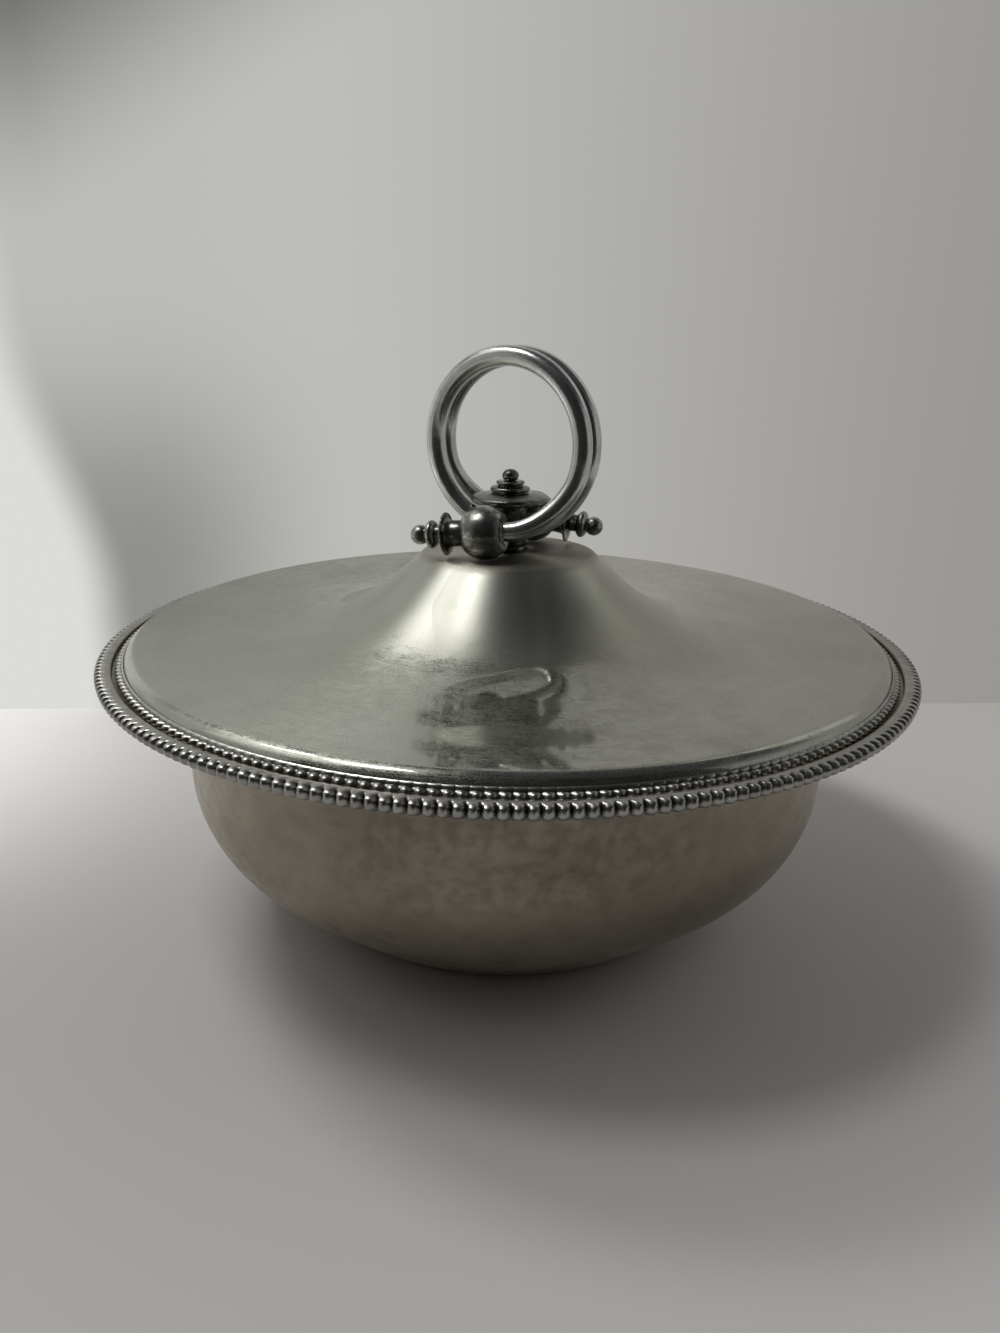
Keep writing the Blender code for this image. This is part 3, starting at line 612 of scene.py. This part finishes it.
def helix(angle):
    """A point of the coil, from the crossing. One turn ends at 360 degrees, on the axis of the stud."""
    return Vector((
        COIL_RADIUS * math.sin(angle),
        COIL_PITCH * (angle / (2 * math.pi) - 1),
        COIL_RADIUS * (1 - math.cos(angle)),
    ))


def wire_route():
    """The wire's front half from the front finial to the crossing, then that half turned about the axis."""
    ball = BALL_PLACE - Vector((0.0, 0.0, CROSSING))
    inner_end = ball - OUTWARD * (MOUTH_DISTANCE - BORE_DEPTH + FIT_GAP)
    start = inner_end - OUTWARD * 2 * WIRE_RADIUS
    steps = round((2 * math.pi - COIL_END_ANGLE) / TURN_STEP)
    turns = [helix(2 * math.pi - TURN_STEP * step) for step in range(steps, -1, -1)]
    arriving = (turns[1] - turns[0]).normalized()
    reach = (turns[0] - start).length
    lead = []
    for step in range(LEAD_STEPS):
        u = step / LEAD_STEPS
        point = (2 * u**3 - 3 * u**2 + 1) * start - (u**3 - 2 * u**2 + u) * reach * OUTWARD
        lead.append(point + (3 * u**2 - 2 * u**3) * turns[0] + (u**3 - u**2) * reach * arriving)
    front = [inner_end] + lead + turns
    rear = [Vector((-point.x, -point.y, point.z)) for point in reversed(front)]
    return front + rear[1:]


def tube(route, radius):
    """A round tube along a route measured from the crossing, as a bmesh."""
    curve = bpy.data.curves.new("route", "CURVE")
    curve.dimensions = "3D"
    curve.twist_mode = "MINIMUM"
    curve.bevel_depth = radius * MM
    curve.bevel_resolution = WIRE_SIDES
    curve.use_fill_caps = True
    spline = curve.splines.new("POLY")
    spline.points.add(len(route) - 1)
    for point, place in zip(spline.points, route):
        point.co = (place.x * MM, place.y * MM, (place.z + CROSSING) * MM, 1.0)
    guide = bpy.data.objects.new("route", curve)
    bpy.context.scene.collection.objects.link(guide)
    mesh = bpy.data.meshes.new_from_object(guide.evaluated_get(bpy.context.evaluated_depsgraph_get()))
    bpy.data.objects.remove(guide)
    shape = bmesh.new()
    shape.from_mesh(mesh)
    bpy.data.meshes.remove(mesh)
    return shape


wire_shape = tube(wire_route(), WIRE_RADIUS)
add_piece("coiled_wire", wire_shape, [polished_wire()], "lid_body", "polished_wire", "handle_coil")

# Collar, saddle, cap and top finial, turned from the same metal. The collar carries the wire in a groove,
# the saddle grips it from above, and the finial's stud runs down through them and the lid. Collar and
# saddle are nearly black: their patina is darkened further as painted shade, since they sit in shade under
# the wire and the cap. The cap and the finial are rubbed bright on their edges.
COLLAR_SEAT = BOSS_TOP + FIT_GAP
COLLAR_RADIUS = 6.4
COLLAR_LIP = 1.15
COLLAR_NECK = 5.7
COLLAR_TOP = BOSS_TOP + 5.5
SADDLE_FOOT = CROSSING + 1.8
SADDLE_RADIUS = 5.6
SADDLE_CHAMFER = 0.3
SADDLE_TOP = CROSSING + WIRE_RADIUS + 5.2
CAP_SEAT = SADDLE_TOP + FIT_GAP
CAP_EDGE_PLACE = 11.9
CAP_EDGE = 1.1
CAP_HEIGHT = 3.4
CAP_DOME = ((9.4, 2.9), (7.4, 3.28), (6.4, CAP_HEIGHT), (HOLE_RADIUS, CAP_HEIGHT))
FINIAL_SEAT = CAP_SEAT + CAP_HEIGHT + FIT_GAP
STEP_RADIUS = 6.6
STEP_EDGE = 0.75
UPPER_STEP_RADIUS = 4.7
UPPER_STEP_EDGE = 0.5
KNOB_NECK = 1.7
KNOB_RADIUS = 2.75
KNOB_RISE = 2.15
WASHER_HEIGHT = 1.0
NUT_HEIGHT = 3.0
WASHER_TOP = BOSS_TOP - SHEET - FIT_GAP
NUT_BOTTOM = WASHER_TOP - WASHER_HEIGHT - FIT_GAP - NUT_HEIGHT
STUD_RADIUS = 1.6
STUD_TIP = NUT_BOTTOM - 1.5


def arc(centre, radius, start, end, steps):
    """Points (r, z) on an arc between two angles in degrees."""
    points = []
    for step in range(steps + 1):
        angle = math.radians(start + (end - start) * step / steps)
        points.append((centre[0] + radius * math.cos(angle), centre[1] + radius * math.sin(angle)))
    return points


def patinated(name, colour, dark, roughness, low, high):
    """Turned metal, dark with patina in its hollows and rubbed bright on what stands out."""
    material, tree, shader = start_metal(name, roughness)
    place = place_in_mm(tree)
    patches = add_group(tree, BLOTCHES, Place=place, Size=3.4, Seed=9.0)
    pits = add_group(tree, PITS, Place=place, Spacing=1.6, Share=0.4, Width=0.14)["Pits"]
    scratches = add_group(tree, SCRATCHES, Place=place, Length=3.0, Amount=0.8)["Scratches"]
    worn = add_group(tree, SPECKLE, Place=place, Size=2.6, Share=0.3)["Speckle"]
    pointed = add_node(tree, "ShaderNodeNewGeometry").outputs["Pointiness"]
    rubbed = fade(tree, pointed, low, high)
    rubbed = math_of(tree, "MULTIPLY", rubbed, fade(tree, patches["Blotches"], 0.2, 0.8, 1.0, 0.35))
    shade = mixed(tree, rubbed, dark, colour)
    shade = stained(tree, shade, math_of(tree, "MULTIPLY", worn, rubbed), 0.5, (0.78, 0.78, 0.75))
    shade = stained(tree, shade, pits, 0.7, (0.05, 0.045, 0.04))
    shade = stained(tree, shade, scratches, 0.6, (0.8, 0.8, 0.77))
    tree.links.new(shade, shader.inputs["Base Color"])
    rough = fade(tree, patches["Blotches"], 0.0, 1.0, roughness, roughness + 0.16)
    tree.links.new(rough, shader.inputs["Roughness"])
    bump(tree, shader, [(patches["Grain"], 0.02), (pits, -0.03), (scratches, -0.008)])
    return material


FITTING_METAL = patinated("darkened_fittings", (0.50, 0.50, 0.47), (0.085, 0.082, 0.075), 0.15, 0.49, 0.58)
# Painted shade: a patina darkened almost to black, for the collar and saddle that sit in shade.
PATINA_AND_SHADE = patinated("patina_and_shade_fittings", (0.12, 0.115, 0.105), (0.03, 0.028, 0.025), 0.3, 0.46, 0.56)


def turned_piece(name, profile, node, metal, closed=True):
    """A piece turned on the axis of the stud."""
    shape = bmesh.new()
    spin_profile(shape, profile, 4, 16, closed)
    return add_piece(name, shape, [metal], "lid_body", "darkened_fittings", node)


def cut_seat(piece):
    """Cut the wire's groove into a turned piece."""
    route = [helix(2 * math.pi + TURN_STEP * step) for step in range(-14, 15)]
    cutter_shape = tube(route, WIRE_RADIUS + FIT_GAP)
    mesh = bpy.data.meshes.new("seat")
    bmesh.ops.recalc_face_normals(cutter_shape, faces=cutter_shape.faces)
    cutter_shape.to_mesh(mesh)
    cutter_shape.free()
    cutter = bpy.data.objects.new("seat", mesh)
    bpy.context.scene.collection.objects.link(cutter)
    groove = piece.modifiers.new("seat", "BOOLEAN")
    groove.operation = "DIFFERENCE"
    groove.solver = "EXACT"
    groove.object = cutter
    cut = bpy.data.meshes.new_from_object(piece.evaluated_get(bpy.context.evaluated_depsgraph_get()))
    piece.modifiers.remove(groove)
    bpy.data.objects.remove(cutter)
    old = piece.data
    name = old.name
    piece.data = cut
    bpy.data.meshes.remove(old)
    cut.name = name
    cut.shade_smooth()
    cut.set_sharp_from_angle(angle=SHARP_EDGE)


collar_profile = [(HOLE_RADIUS, COLLAR_SEAT)]
collar_profile += arc((COLLAR_RADIUS - COLLAR_LIP, COLLAR_SEAT + COLLAR_LIP), COLLAR_LIP, -90.0, 90.0, 12)
collar_profile += [(COLLAR_NECK, BOSS_TOP + 2.75), (COLLAR_NECK, COLLAR_TOP), (HOLE_RADIUS, COLLAR_TOP)]
cut_seat(turned_piece("wire_collar", collar_profile, "collar", PATINA_AND_SHADE))

saddle_profile = [
    (HOLE_RADIUS, SADDLE_FOOT),
    (SADDLE_RADIUS, SADDLE_FOOT),
    (SADDLE_RADIUS, SADDLE_TOP - SADDLE_CHAMFER),
    (SADDLE_RADIUS - SADDLE_CHAMFER, SADDLE_TOP),
    (HOLE_RADIUS, SADDLE_TOP),
]
cut_seat(turned_piece("wire_saddle", saddle_profile, "saddle", PATINA_AND_SHADE))

cap_profile = [(HOLE_RADIUS, CAP_SEAT)]
cap_profile += arc((CAP_EDGE_PLACE, CAP_SEAT + CAP_EDGE), CAP_EDGE, -90.0, 0.0, 8)
cap_profile += arc((CAP_EDGE_PLACE, CAP_SEAT + CAP_EDGE + 0.1), CAP_EDGE, 0.0, 75.0, 8)
cap_profile += [(r, CAP_SEAT + z) for r, z in CAP_DOME]
turned_piece("handle_cap", cap_profile, "cap", FITTING_METAL)

top_profile = [(0.0, STUD_TIP), (STUD_RADIUS - 0.3, STUD_TIP), (STUD_RADIUS, STUD_TIP + 0.3)]
top_profile.append((STUD_RADIUS, FINIAL_SEAT))
top_profile += arc((STEP_RADIUS - STEP_EDGE, FINIAL_SEAT + STEP_EDGE), STEP_EDGE, -90.0, 90.0, 12)
top_profile += [(4.3, FINIAL_SEAT + 1.75), (4.0, FINIAL_SEAT + 2.4)]
top_profile += arc((UPPER_STEP_RADIUS - UPPER_STEP_EDGE, FINIAL_SEAT + 2.9), UPPER_STEP_EDGE, -80.0, 90.0, 10)
top_profile += [(2.2, FINIAL_SEAT + 3.5), (KNOB_NECK, FINIAL_SEAT + 3.55)]
neck_angle = math.acos(KNOB_NECK / KNOB_RADIUS)
knob_middle = FINIAL_SEAT + 3.4 + KNOB_RISE * math.sin(neck_angle)
for r, z in arc((0.0, 0.0), 1.0, -math.degrees(neck_angle), 90.0, 16):
    top_profile.append((KNOB_RADIUS * max(r, 0.0), knob_middle + KNOB_RISE * z))
top_profile[-1] = (0.0, top_profile[-1][1])
turned_piece("stepped_finial", top_profile, "top_finial", FITTING_METAL, closed=False)

# Side finials, one on each end of the wire, turned in one piece: a drilled ball, a thin flared disc, a bead
# and a small ball at the tip. Hands have rubbed them brighter than the rest of the fittings.
NECK_RADIUS = 4.2
DISC_RADIUS = 6.55
DISC_PLACE = 12.55
DISC_EDGE = 0.35
FINIAL_BEAD_RADIUS = 4.55
FINIAL_BEAD_PLACE = 17.8
FINIAL_BEAD_HALF = 1.95
TIP_RADIUS = 3.2
TIP_NECK = 2.1
TIP_PLACE = 21.9
RUBBED_METAL = patinated("rubbed_fittings", (0.44, 0.44, 0.41), (0.085, 0.082, 0.075), 0.15, 0.44, 0.54)


def finial_profile():
    """The outline from the bottom of the bore to the tip, with z measured from the ball's middle."""
    bore = WIRE_RADIUS + FIT_GAP
    mouth = -MOUTH_DISTANCE
    bottom = mouth + BORE_DEPTH
    mouth_angle = -math.degrees(math.asin(MOUTH_DISTANCE / BALL_RADIUS))
    neck_angle = math.acos(NECK_RADIUS / BALL_RADIUS)
    neck_start = BALL_RADIUS * math.sin(neck_angle)
    flare_start = neck_start + 2.2
    profile = [(0.0, bottom), (bore, bottom), (bore, mouth + 0.8), (bore + 0.8, mouth)]
    profile += arc((0.0, 0.0), BALL_RADIUS, mouth_angle, math.degrees(neck_angle), 26)
    profile += [(NECK_RADIUS - 0.05, neck_start + 1.1), (NECK_RADIUS, flare_start)]
    for step in range(1, 9):
        u = step / 8
        r = NECK_RADIUS + (DISC_RADIUS - NECK_RADIUS) * u**2
        profile.append((r, flare_start + (DISC_PLACE - flare_start) * math.sin(u * math.pi / 2)))
    profile += arc((DISC_RADIUS, DISC_PLACE + DISC_EDGE), DISC_EDGE, -80.0, 90.0, 6)
    profile += [(5.0, 13.35), (3.6, 13.5), (3.0, 13.8), (2.9, 14.6), (2.9, 15.6)]
    for r, z in arc((0.0, 0.0), 1.0, -50.0, 60.0, 14):
        half = FINIAL_BEAD_HALF / math.sin(math.radians(60.0))
        profile.append((FINIAL_BEAD_RADIUS * r, FINIAL_BEAD_PLACE + half * z))
    tip_neck_angle = -math.degrees(math.acos(TIP_NECK / TIP_RADIUS))
    profile += arc((0.0, TIP_PLACE), TIP_RADIUS, tip_neck_angle, 90.0, 18)
    profile[-1] = (0.0, profile[-1][1])
    return profile


for name, node, turn in (("finial_front", "front_finial", 0.0), ("finial_rear", "rear_finial", math.pi)):
    shape = bmesh.new()
    spin_profile(shape, finial_profile(), 4, 18)
    leaning = OUTWARD.to_track_quat("Z", "Y").to_matrix().to_4x4()
    matrix = Matrix.Rotation(turn, 4, "Z") @ Matrix.Translation(BALL_PLACE * MM) @ leaning
    bmesh.ops.transform(shape, matrix=matrix, verts=shape.verts)
    add_piece(name, shape, [RUBBED_METAL], "lid_body", "darkened_fittings", node)

# Washer and nut under the boss, of plated steel that has gone dull. They hold the stud from below, and with
# it the lid, the fittings and the wire between them.
WASHER_RADIUS = 6.5
NUT_ACROSS = 8.0


def plated_steel():
    """Dull plating with soft stains."""
    material, tree, shader = start_metal("plated_fixings", 0.34)
    dull = add_group(tree, BLOTCHES, Place=place_in_mm(tree), Size=2.5, Seed=7.0)
    colour = mixed(tree, dull["Blotches"], (0.56, 0.55, 0.52), (0.40, 0.38, 0.35))
    tree.links.new(colour, shader.inputs["Base Color"])
    tree.links.new(fade(tree, dull["Grain"], 0.0, 1.0, 0.28, 0.44), shader.inputs["Roughness"])
    bump(tree, shader, [(dull["Grain"], 0.01)])
    return material


PLATED = plated_steel()
washer_bottom = WASHER_TOP - WASHER_HEIGHT
washer_profile = [
    (HOLE_RADIUS, washer_bottom),
    (WASHER_RADIUS - 0.25, washer_bottom),
    (WASHER_RADIUS, washer_bottom + 0.25),
    (WASHER_RADIUS, WASHER_TOP - 0.1),
    (WASHER_RADIUS - 0.1, WASHER_TOP),
    (HOLE_RADIUS, WASHER_TOP),
]
washer_shape = bmesh.new()
spin_profile(washer_shape, washer_profile, 4, 16, closed=True)
add_piece("lid_washer", washer_shape, [PLATED], "lid_body", "plated_fixings", "washer")

nut_corner = NUT_ACROSS / 2 / math.cos(math.pi / 6)
nut_profile = [
    (HOLE_RADIUS, NUT_BOTTOM),
    (3.6, NUT_BOTTOM),
    (nut_corner, NUT_BOTTOM + 0.45),
    (nut_corner, NUT_BOTTOM + NUT_HEIGHT),
    (HOLE_RADIUS, NUT_BOTTOM + NUT_HEIGHT),
]
nut_shape = bmesh.new()
spin_profile(nut_shape, nut_profile, 4, 18, closed=True)
for side in range(6):
    angle = math.pi / 3 * side + math.pi / 6
    way = Vector((math.cos(angle), math.sin(angle), 0.0))
    bmesh.ops.bisect_plane(
        nut_shape,
        geom=nut_shape.verts[:] + nut_shape.edges[:] + nut_shape.faces[:],
        plane_co=way * NUT_ACROSS / 2 * MM,
        plane_no=way,
        clear_outer=True,
    )
    rims = [edge for edge in nut_shape.edges if edge.is_boundary]
    bmesh.ops.holes_fill(nut_shape, edges=rims, sides=0)
add_piece("lid_nut", nut_shape, [PLATED], "lid_body", "plated_fixings", "nut")

# Table and wall: a plain pale table, and close behind the dish a pale wall that glows with painted light and
# shade, shows only from its front and lets the lamps behind it shine through. A black card behind the camera,
# which only reflections see, stands for the dark room there. Their lengths are in m.
VIEW_WAY = Vector((-0.4695, 0.8829, 0.0)).normalized()
WALL_WAY = Vector((-0.5262, 0.8504, 0.0)).normalized()
TABLE_HALF = 3.0
WALL_DISTANCE = 0.1665
WALL_HALF = 2.0
WALL_HEIGHT = 0.75
CARD_DISTANCE = 0.42
CARD_HALF = 0.6
CARD_HEIGHT = 0.8


def add_stage(name, corners, material):
    """A flat piece of the stage."""
    shape = bmesh.new()
    shape.faces.new([shape.verts.new(corner) for corner in corners])
    mesh = bpy.data.meshes.new(name)
    shape.to_mesh(mesh)
    shape.free()
    mesh.materials.append(material)
    piece = bpy.data.objects.new(name, mesh)
    bpy.context.scene.collection.objects.link(piece)


def matt_surface(name, colour):
    """Plain matt paint."""
    material = bpy.data.materials.new(name)
    material.use_nodes = True
    shader = material.node_tree.nodes["Principled BSDF"]
    shader.inputs["Base Color"].default_value = (*colour, 1.0)
    shader.inputs["Roughness"].default_value = 0.6
    shader.inputs["Specular IOR Level"].default_value = 0.2
    return material


def clear_where(material, mask_node, mask):
    """Make a stage material see-through where the mask is one."""
    tree = material.node_tree
    hidden = add_node(tree, mask_node).outputs[mask]
    output = tree.nodes["Material Output"].inputs["Surface"]
    clear = add_node(tree, "ShaderNodeBsdfTransparent").outputs[0]
    links = {0: hidden, 1: output.links[0].from_socket, 2: clear}
    tree.links.new(add_node(tree, "ShaderNodeMixShader", links).outputs[0], output)


def upright_card(way, distance, half_width, height):
    """The corners of an upright rectangle that faces the dish from a direction."""
    foot = way * distance
    side = Vector((way.y, -way.x, 0.0)) * half_width
    low = [foot - side, foot + side]
    return low + [corner + Vector((0.0, 0.0, height)) for corner in reversed(low)]


def product(tree, *values):
    """Several masks multiplied."""
    total = values[0]
    for value in values[1:]:
        total = math_of(tree, "MULTIPLY", total, value)
    return total


def painted_wall():
    """Pale paint that glows with painted light and shade, by the place along the wall and the height on it.
    """
    material = matt_surface("wall_paint", (0.76, 0.75, 0.73))
    tree = material.node_tree
    place = add_node(tree, "ShaderNodeTexCoord").outputs["Object"]
    across = number_of(tree, "DOT_PRODUCT", place, (WALL_WAY.y, -WALL_WAY.x, 0.0))
    height = part_of(tree, place, 2)
    # Painted light that falls off across the wall: brighter at the left, darker to the right.
    shade = mixed(tree, fade(tree, across, -0.2, 0.3), (0.55, 0.55, 0.53), (0.32, 0.31, 0.295))

    # Painted shade: a dim band at the left, strongest near the table.
    low = fade(tree, height, 0.05, 0.24, 1.0, 0.0)
    painted_band_shade = product(tree, fade(tree, across, -0.17, -0.05, 1.0, 0.0), fade(tree, low, 0.0, 1.0, 0.12, 0.72))
    shade = mixed(tree, painted_band_shade, shade, (0.17, 0.17, 0.16))

    # Painted shade: a dark zone high up, which leans to the right.
    held = math_of(tree, "MAXIMUM", across, -0.2)
    tilted = math_of(tree, "SUBTRACT", height, math_of(tree, "MULTIPLY", held, 0.6))
    dark = product(tree, fade(tree, tilted, 0.34, 0.48), fade(tree, across, -0.42, -0.26))
    shade = mixed(tree, dark, shade, (0.09, 0.09, 0.088))

    # Painted light: a bright patch low at the far left, with a soft bent edge,
    # and a pale one out of view at the right.
    edge = math_of(tree, "ADD", across, fade(tree, height, 0.06, 0.2, 0.0, 0.035))
    patch = product(
        tree,
        fade(tree, edge, -0.205, -0.175, 1.0, 0.0),
        fade(tree, height, 0.19, 0.26, 1.0, 0.0),
        fade(tree, across, -0.45, -0.28, 0.3, 1.0),
    )
    shade = mixed(tree, patch, shade, (0.71, 0.72, 0.70))
    painted_side_light = product(
        tree,
        fade(tree, across, 0.235, 0.29),
        fade(tree, across, 0.5, 0.65, 1.0, 0.0),
        fade(tree, height, 0.27, 0.34),
        fade(tree, height, 0.6, 0.7, 1.0, 0.0),
    )
    shade = mixed(tree, painted_side_light, shade, (0.62, 0.62, 0.58))
    glow = add_node(tree, "ShaderNodeEmission", {"Color": shade, "Strength": 1.0}).outputs[0]
    tree.links.new(glow, tree.nodes["Material Output"].inputs["Surface"])
    clear_where(material, "ShaderNodeNewGeometry", "Backfacing")
    clear_where(material, "ShaderNodeLightPath", "Is Shadow Ray")
    return material


def black_paint():
    """Black paint that shows only from its front, and never to the camera."""
    material = matt_surface("black_card", (0.03, 0.03, 0.03))
    clear_where(material, "ShaderNodeNewGeometry", "Backfacing")
    clear_where(material, "ShaderNodeLightPath", "Is Camera Ray")
    return material


table_corners = [(TABLE_HALF * x, TABLE_HALF * y, 0.0) for x, y in ((-1, -1), (1, -1), (1, 1), (-1, 1))]
add_stage("table", table_corners, matt_surface("table_top", (0.60, 0.59, 0.58)))
add_stage("wall", upright_card(WALL_WAY, WALL_DISTANCE, WALL_HALF, WALL_HEIGHT), painted_wall())
add_stage("black_card", upright_card(-VIEW_WAY, CARD_DISTANCE, CARD_HALF, CARD_HEIGHT), black_paint())

# Camera, held a little askew, at the height of a person who sits at the table. Its place and angles were
# fitted to the rims of the bowl and the lid and to the boss.
CAMERA_PLACE = Vector((0.1539, -0.2945, 0.1897))
PITCH = math.radians(18.56)
ASKEW = math.radians(0.99)
camera = bpy.data.objects.new("camera", bpy.data.cameras.new("camera"))
bpy.context.scene.collection.objects.link(camera)
bpy.context.scene.camera = camera
camera.data.sensor_fit = "HORIZONTAL"
camera.data.sensor_width = 36.0
camera.data.lens = 36.108
camera.data.clip_start = 0.01
forward = VIEW_WAY * math.cos(PITCH) - Vector((0.0, 0.0, math.sin(PITCH)))
level = forward.cross(Vector((0.0, 0.0, 1.0))).normalized()
upright = level.cross(forward)
side = math.cos(ASKEW) * level + math.sin(ASKEW) * upright
top = math.cos(ASKEW) * upright - math.sin(ASKEW) * level
camera.matrix_world = Matrix.Translation(CAMERA_PLACE) @ Matrix((side, top, -forward)).transposed().to_4x4()

# Light: two soft lamps high behind the wall on the left, which cast the dish's two shadows, a weak one on the
# right that reflections don't see, and a patch of light on the left of the table. The room is dim, with a
# darker ceiling and a pale glow where the lamps are.
LAMP_AIM = Vector((0.0, 0.0, 0.09))


def direction(azimuth, elevation):
    """A direction from the dish. The azimuth counts in degrees to the left of the camera's view."""
    ahead = Matrix.Rotation(math.radians(azimuth), 3, "Z") @ VIEW_WAY
    return ahead * math.cos(math.radians(elevation)) + Vector((0.0, 0.0, math.sin(math.radians(elevation))))


def place_lamp(data, place, way):
    """Put a lamp in place, so that it shines against a direction."""
    lamp = bpy.data.objects.new(data.name, data)
    bpy.context.scene.collection.objects.link(lamp)
    lamp.location = place
    lamp.rotation_mode = "QUATERNION"
    lamp.rotation_quaternion = way.to_track_quat("Z", "Y")
    return lamp


def add_lamp(name, way, distance, size, power, colour, mirrored=True):
    """An area lamp that faces the dish."""
    data = bpy.data.lights.new(name, "AREA")
    data.shape = "RECTANGLE"
    data.size, data.size_y = size
    data.energy = power
    data.color = colour
    place_lamp(data, LAMP_AIM + way * distance, way).visible_glossy = mirrored


add_lamp("upper_lamp", direction(100.0, 66.6), 2.5, (0.5, 0.6), 11.0, (1.0, 0.99, 0.97))
add_lamp("window_lamp", direction(62.0, 53.0), 2.5, (0.5, 0.55), 13.5, (1.0, 0.99, 0.97))
add_lamp("side_lamp", direction(-80.0, 35.0), 1.2, (1.0, 1.0), 3.0, (1.0, 0.98, 0.96), mirrored=False)

left_way = Vector((-VIEW_WAY.y, VIEW_WAY.x, 0.0))
patch_place = left_way * 0.85 + Vector((0.0, 0.0, 0.55))
patch_light = bpy.data.lights.new("sun_patch", "SPOT")
patch_light.energy = 25.0
patch_light.spot_size = math.radians(28.0)
patch_light.spot_blend = 0.5
patch_light.shadow_soft_size = 0.06
place_lamp(patch_light, patch_place, patch_place - left_way * 0.40 - VIEW_WAY * 0.08)

world = bpy.data.worlds.new("room")
bpy.context.scene.world = world
world.use_nodes = True
tree = world.node_tree
looking = add_node(tree, "ShaderNodeTexCoord").outputs["Generated"]
ceiling = fade(tree, part_of(tree, looking, 2), 0.30, 0.75)
room = mixed(tree, ceiling, (0.36, 0.36, 0.355), (0.05, 0.05, 0.055))
nearness = number_of(tree, "DOT_PRODUCT", looking, direction(74.0, 50.0))
room = mixed(tree, fade(tree, nearness, 0.82, 0.985), room, (1.1, 1.1, 1.06))
tree.links.new(room, tree.nodes["Background"].inputs["Color"])

bpy.context.scene.view_settings.view_transform = "Standard"
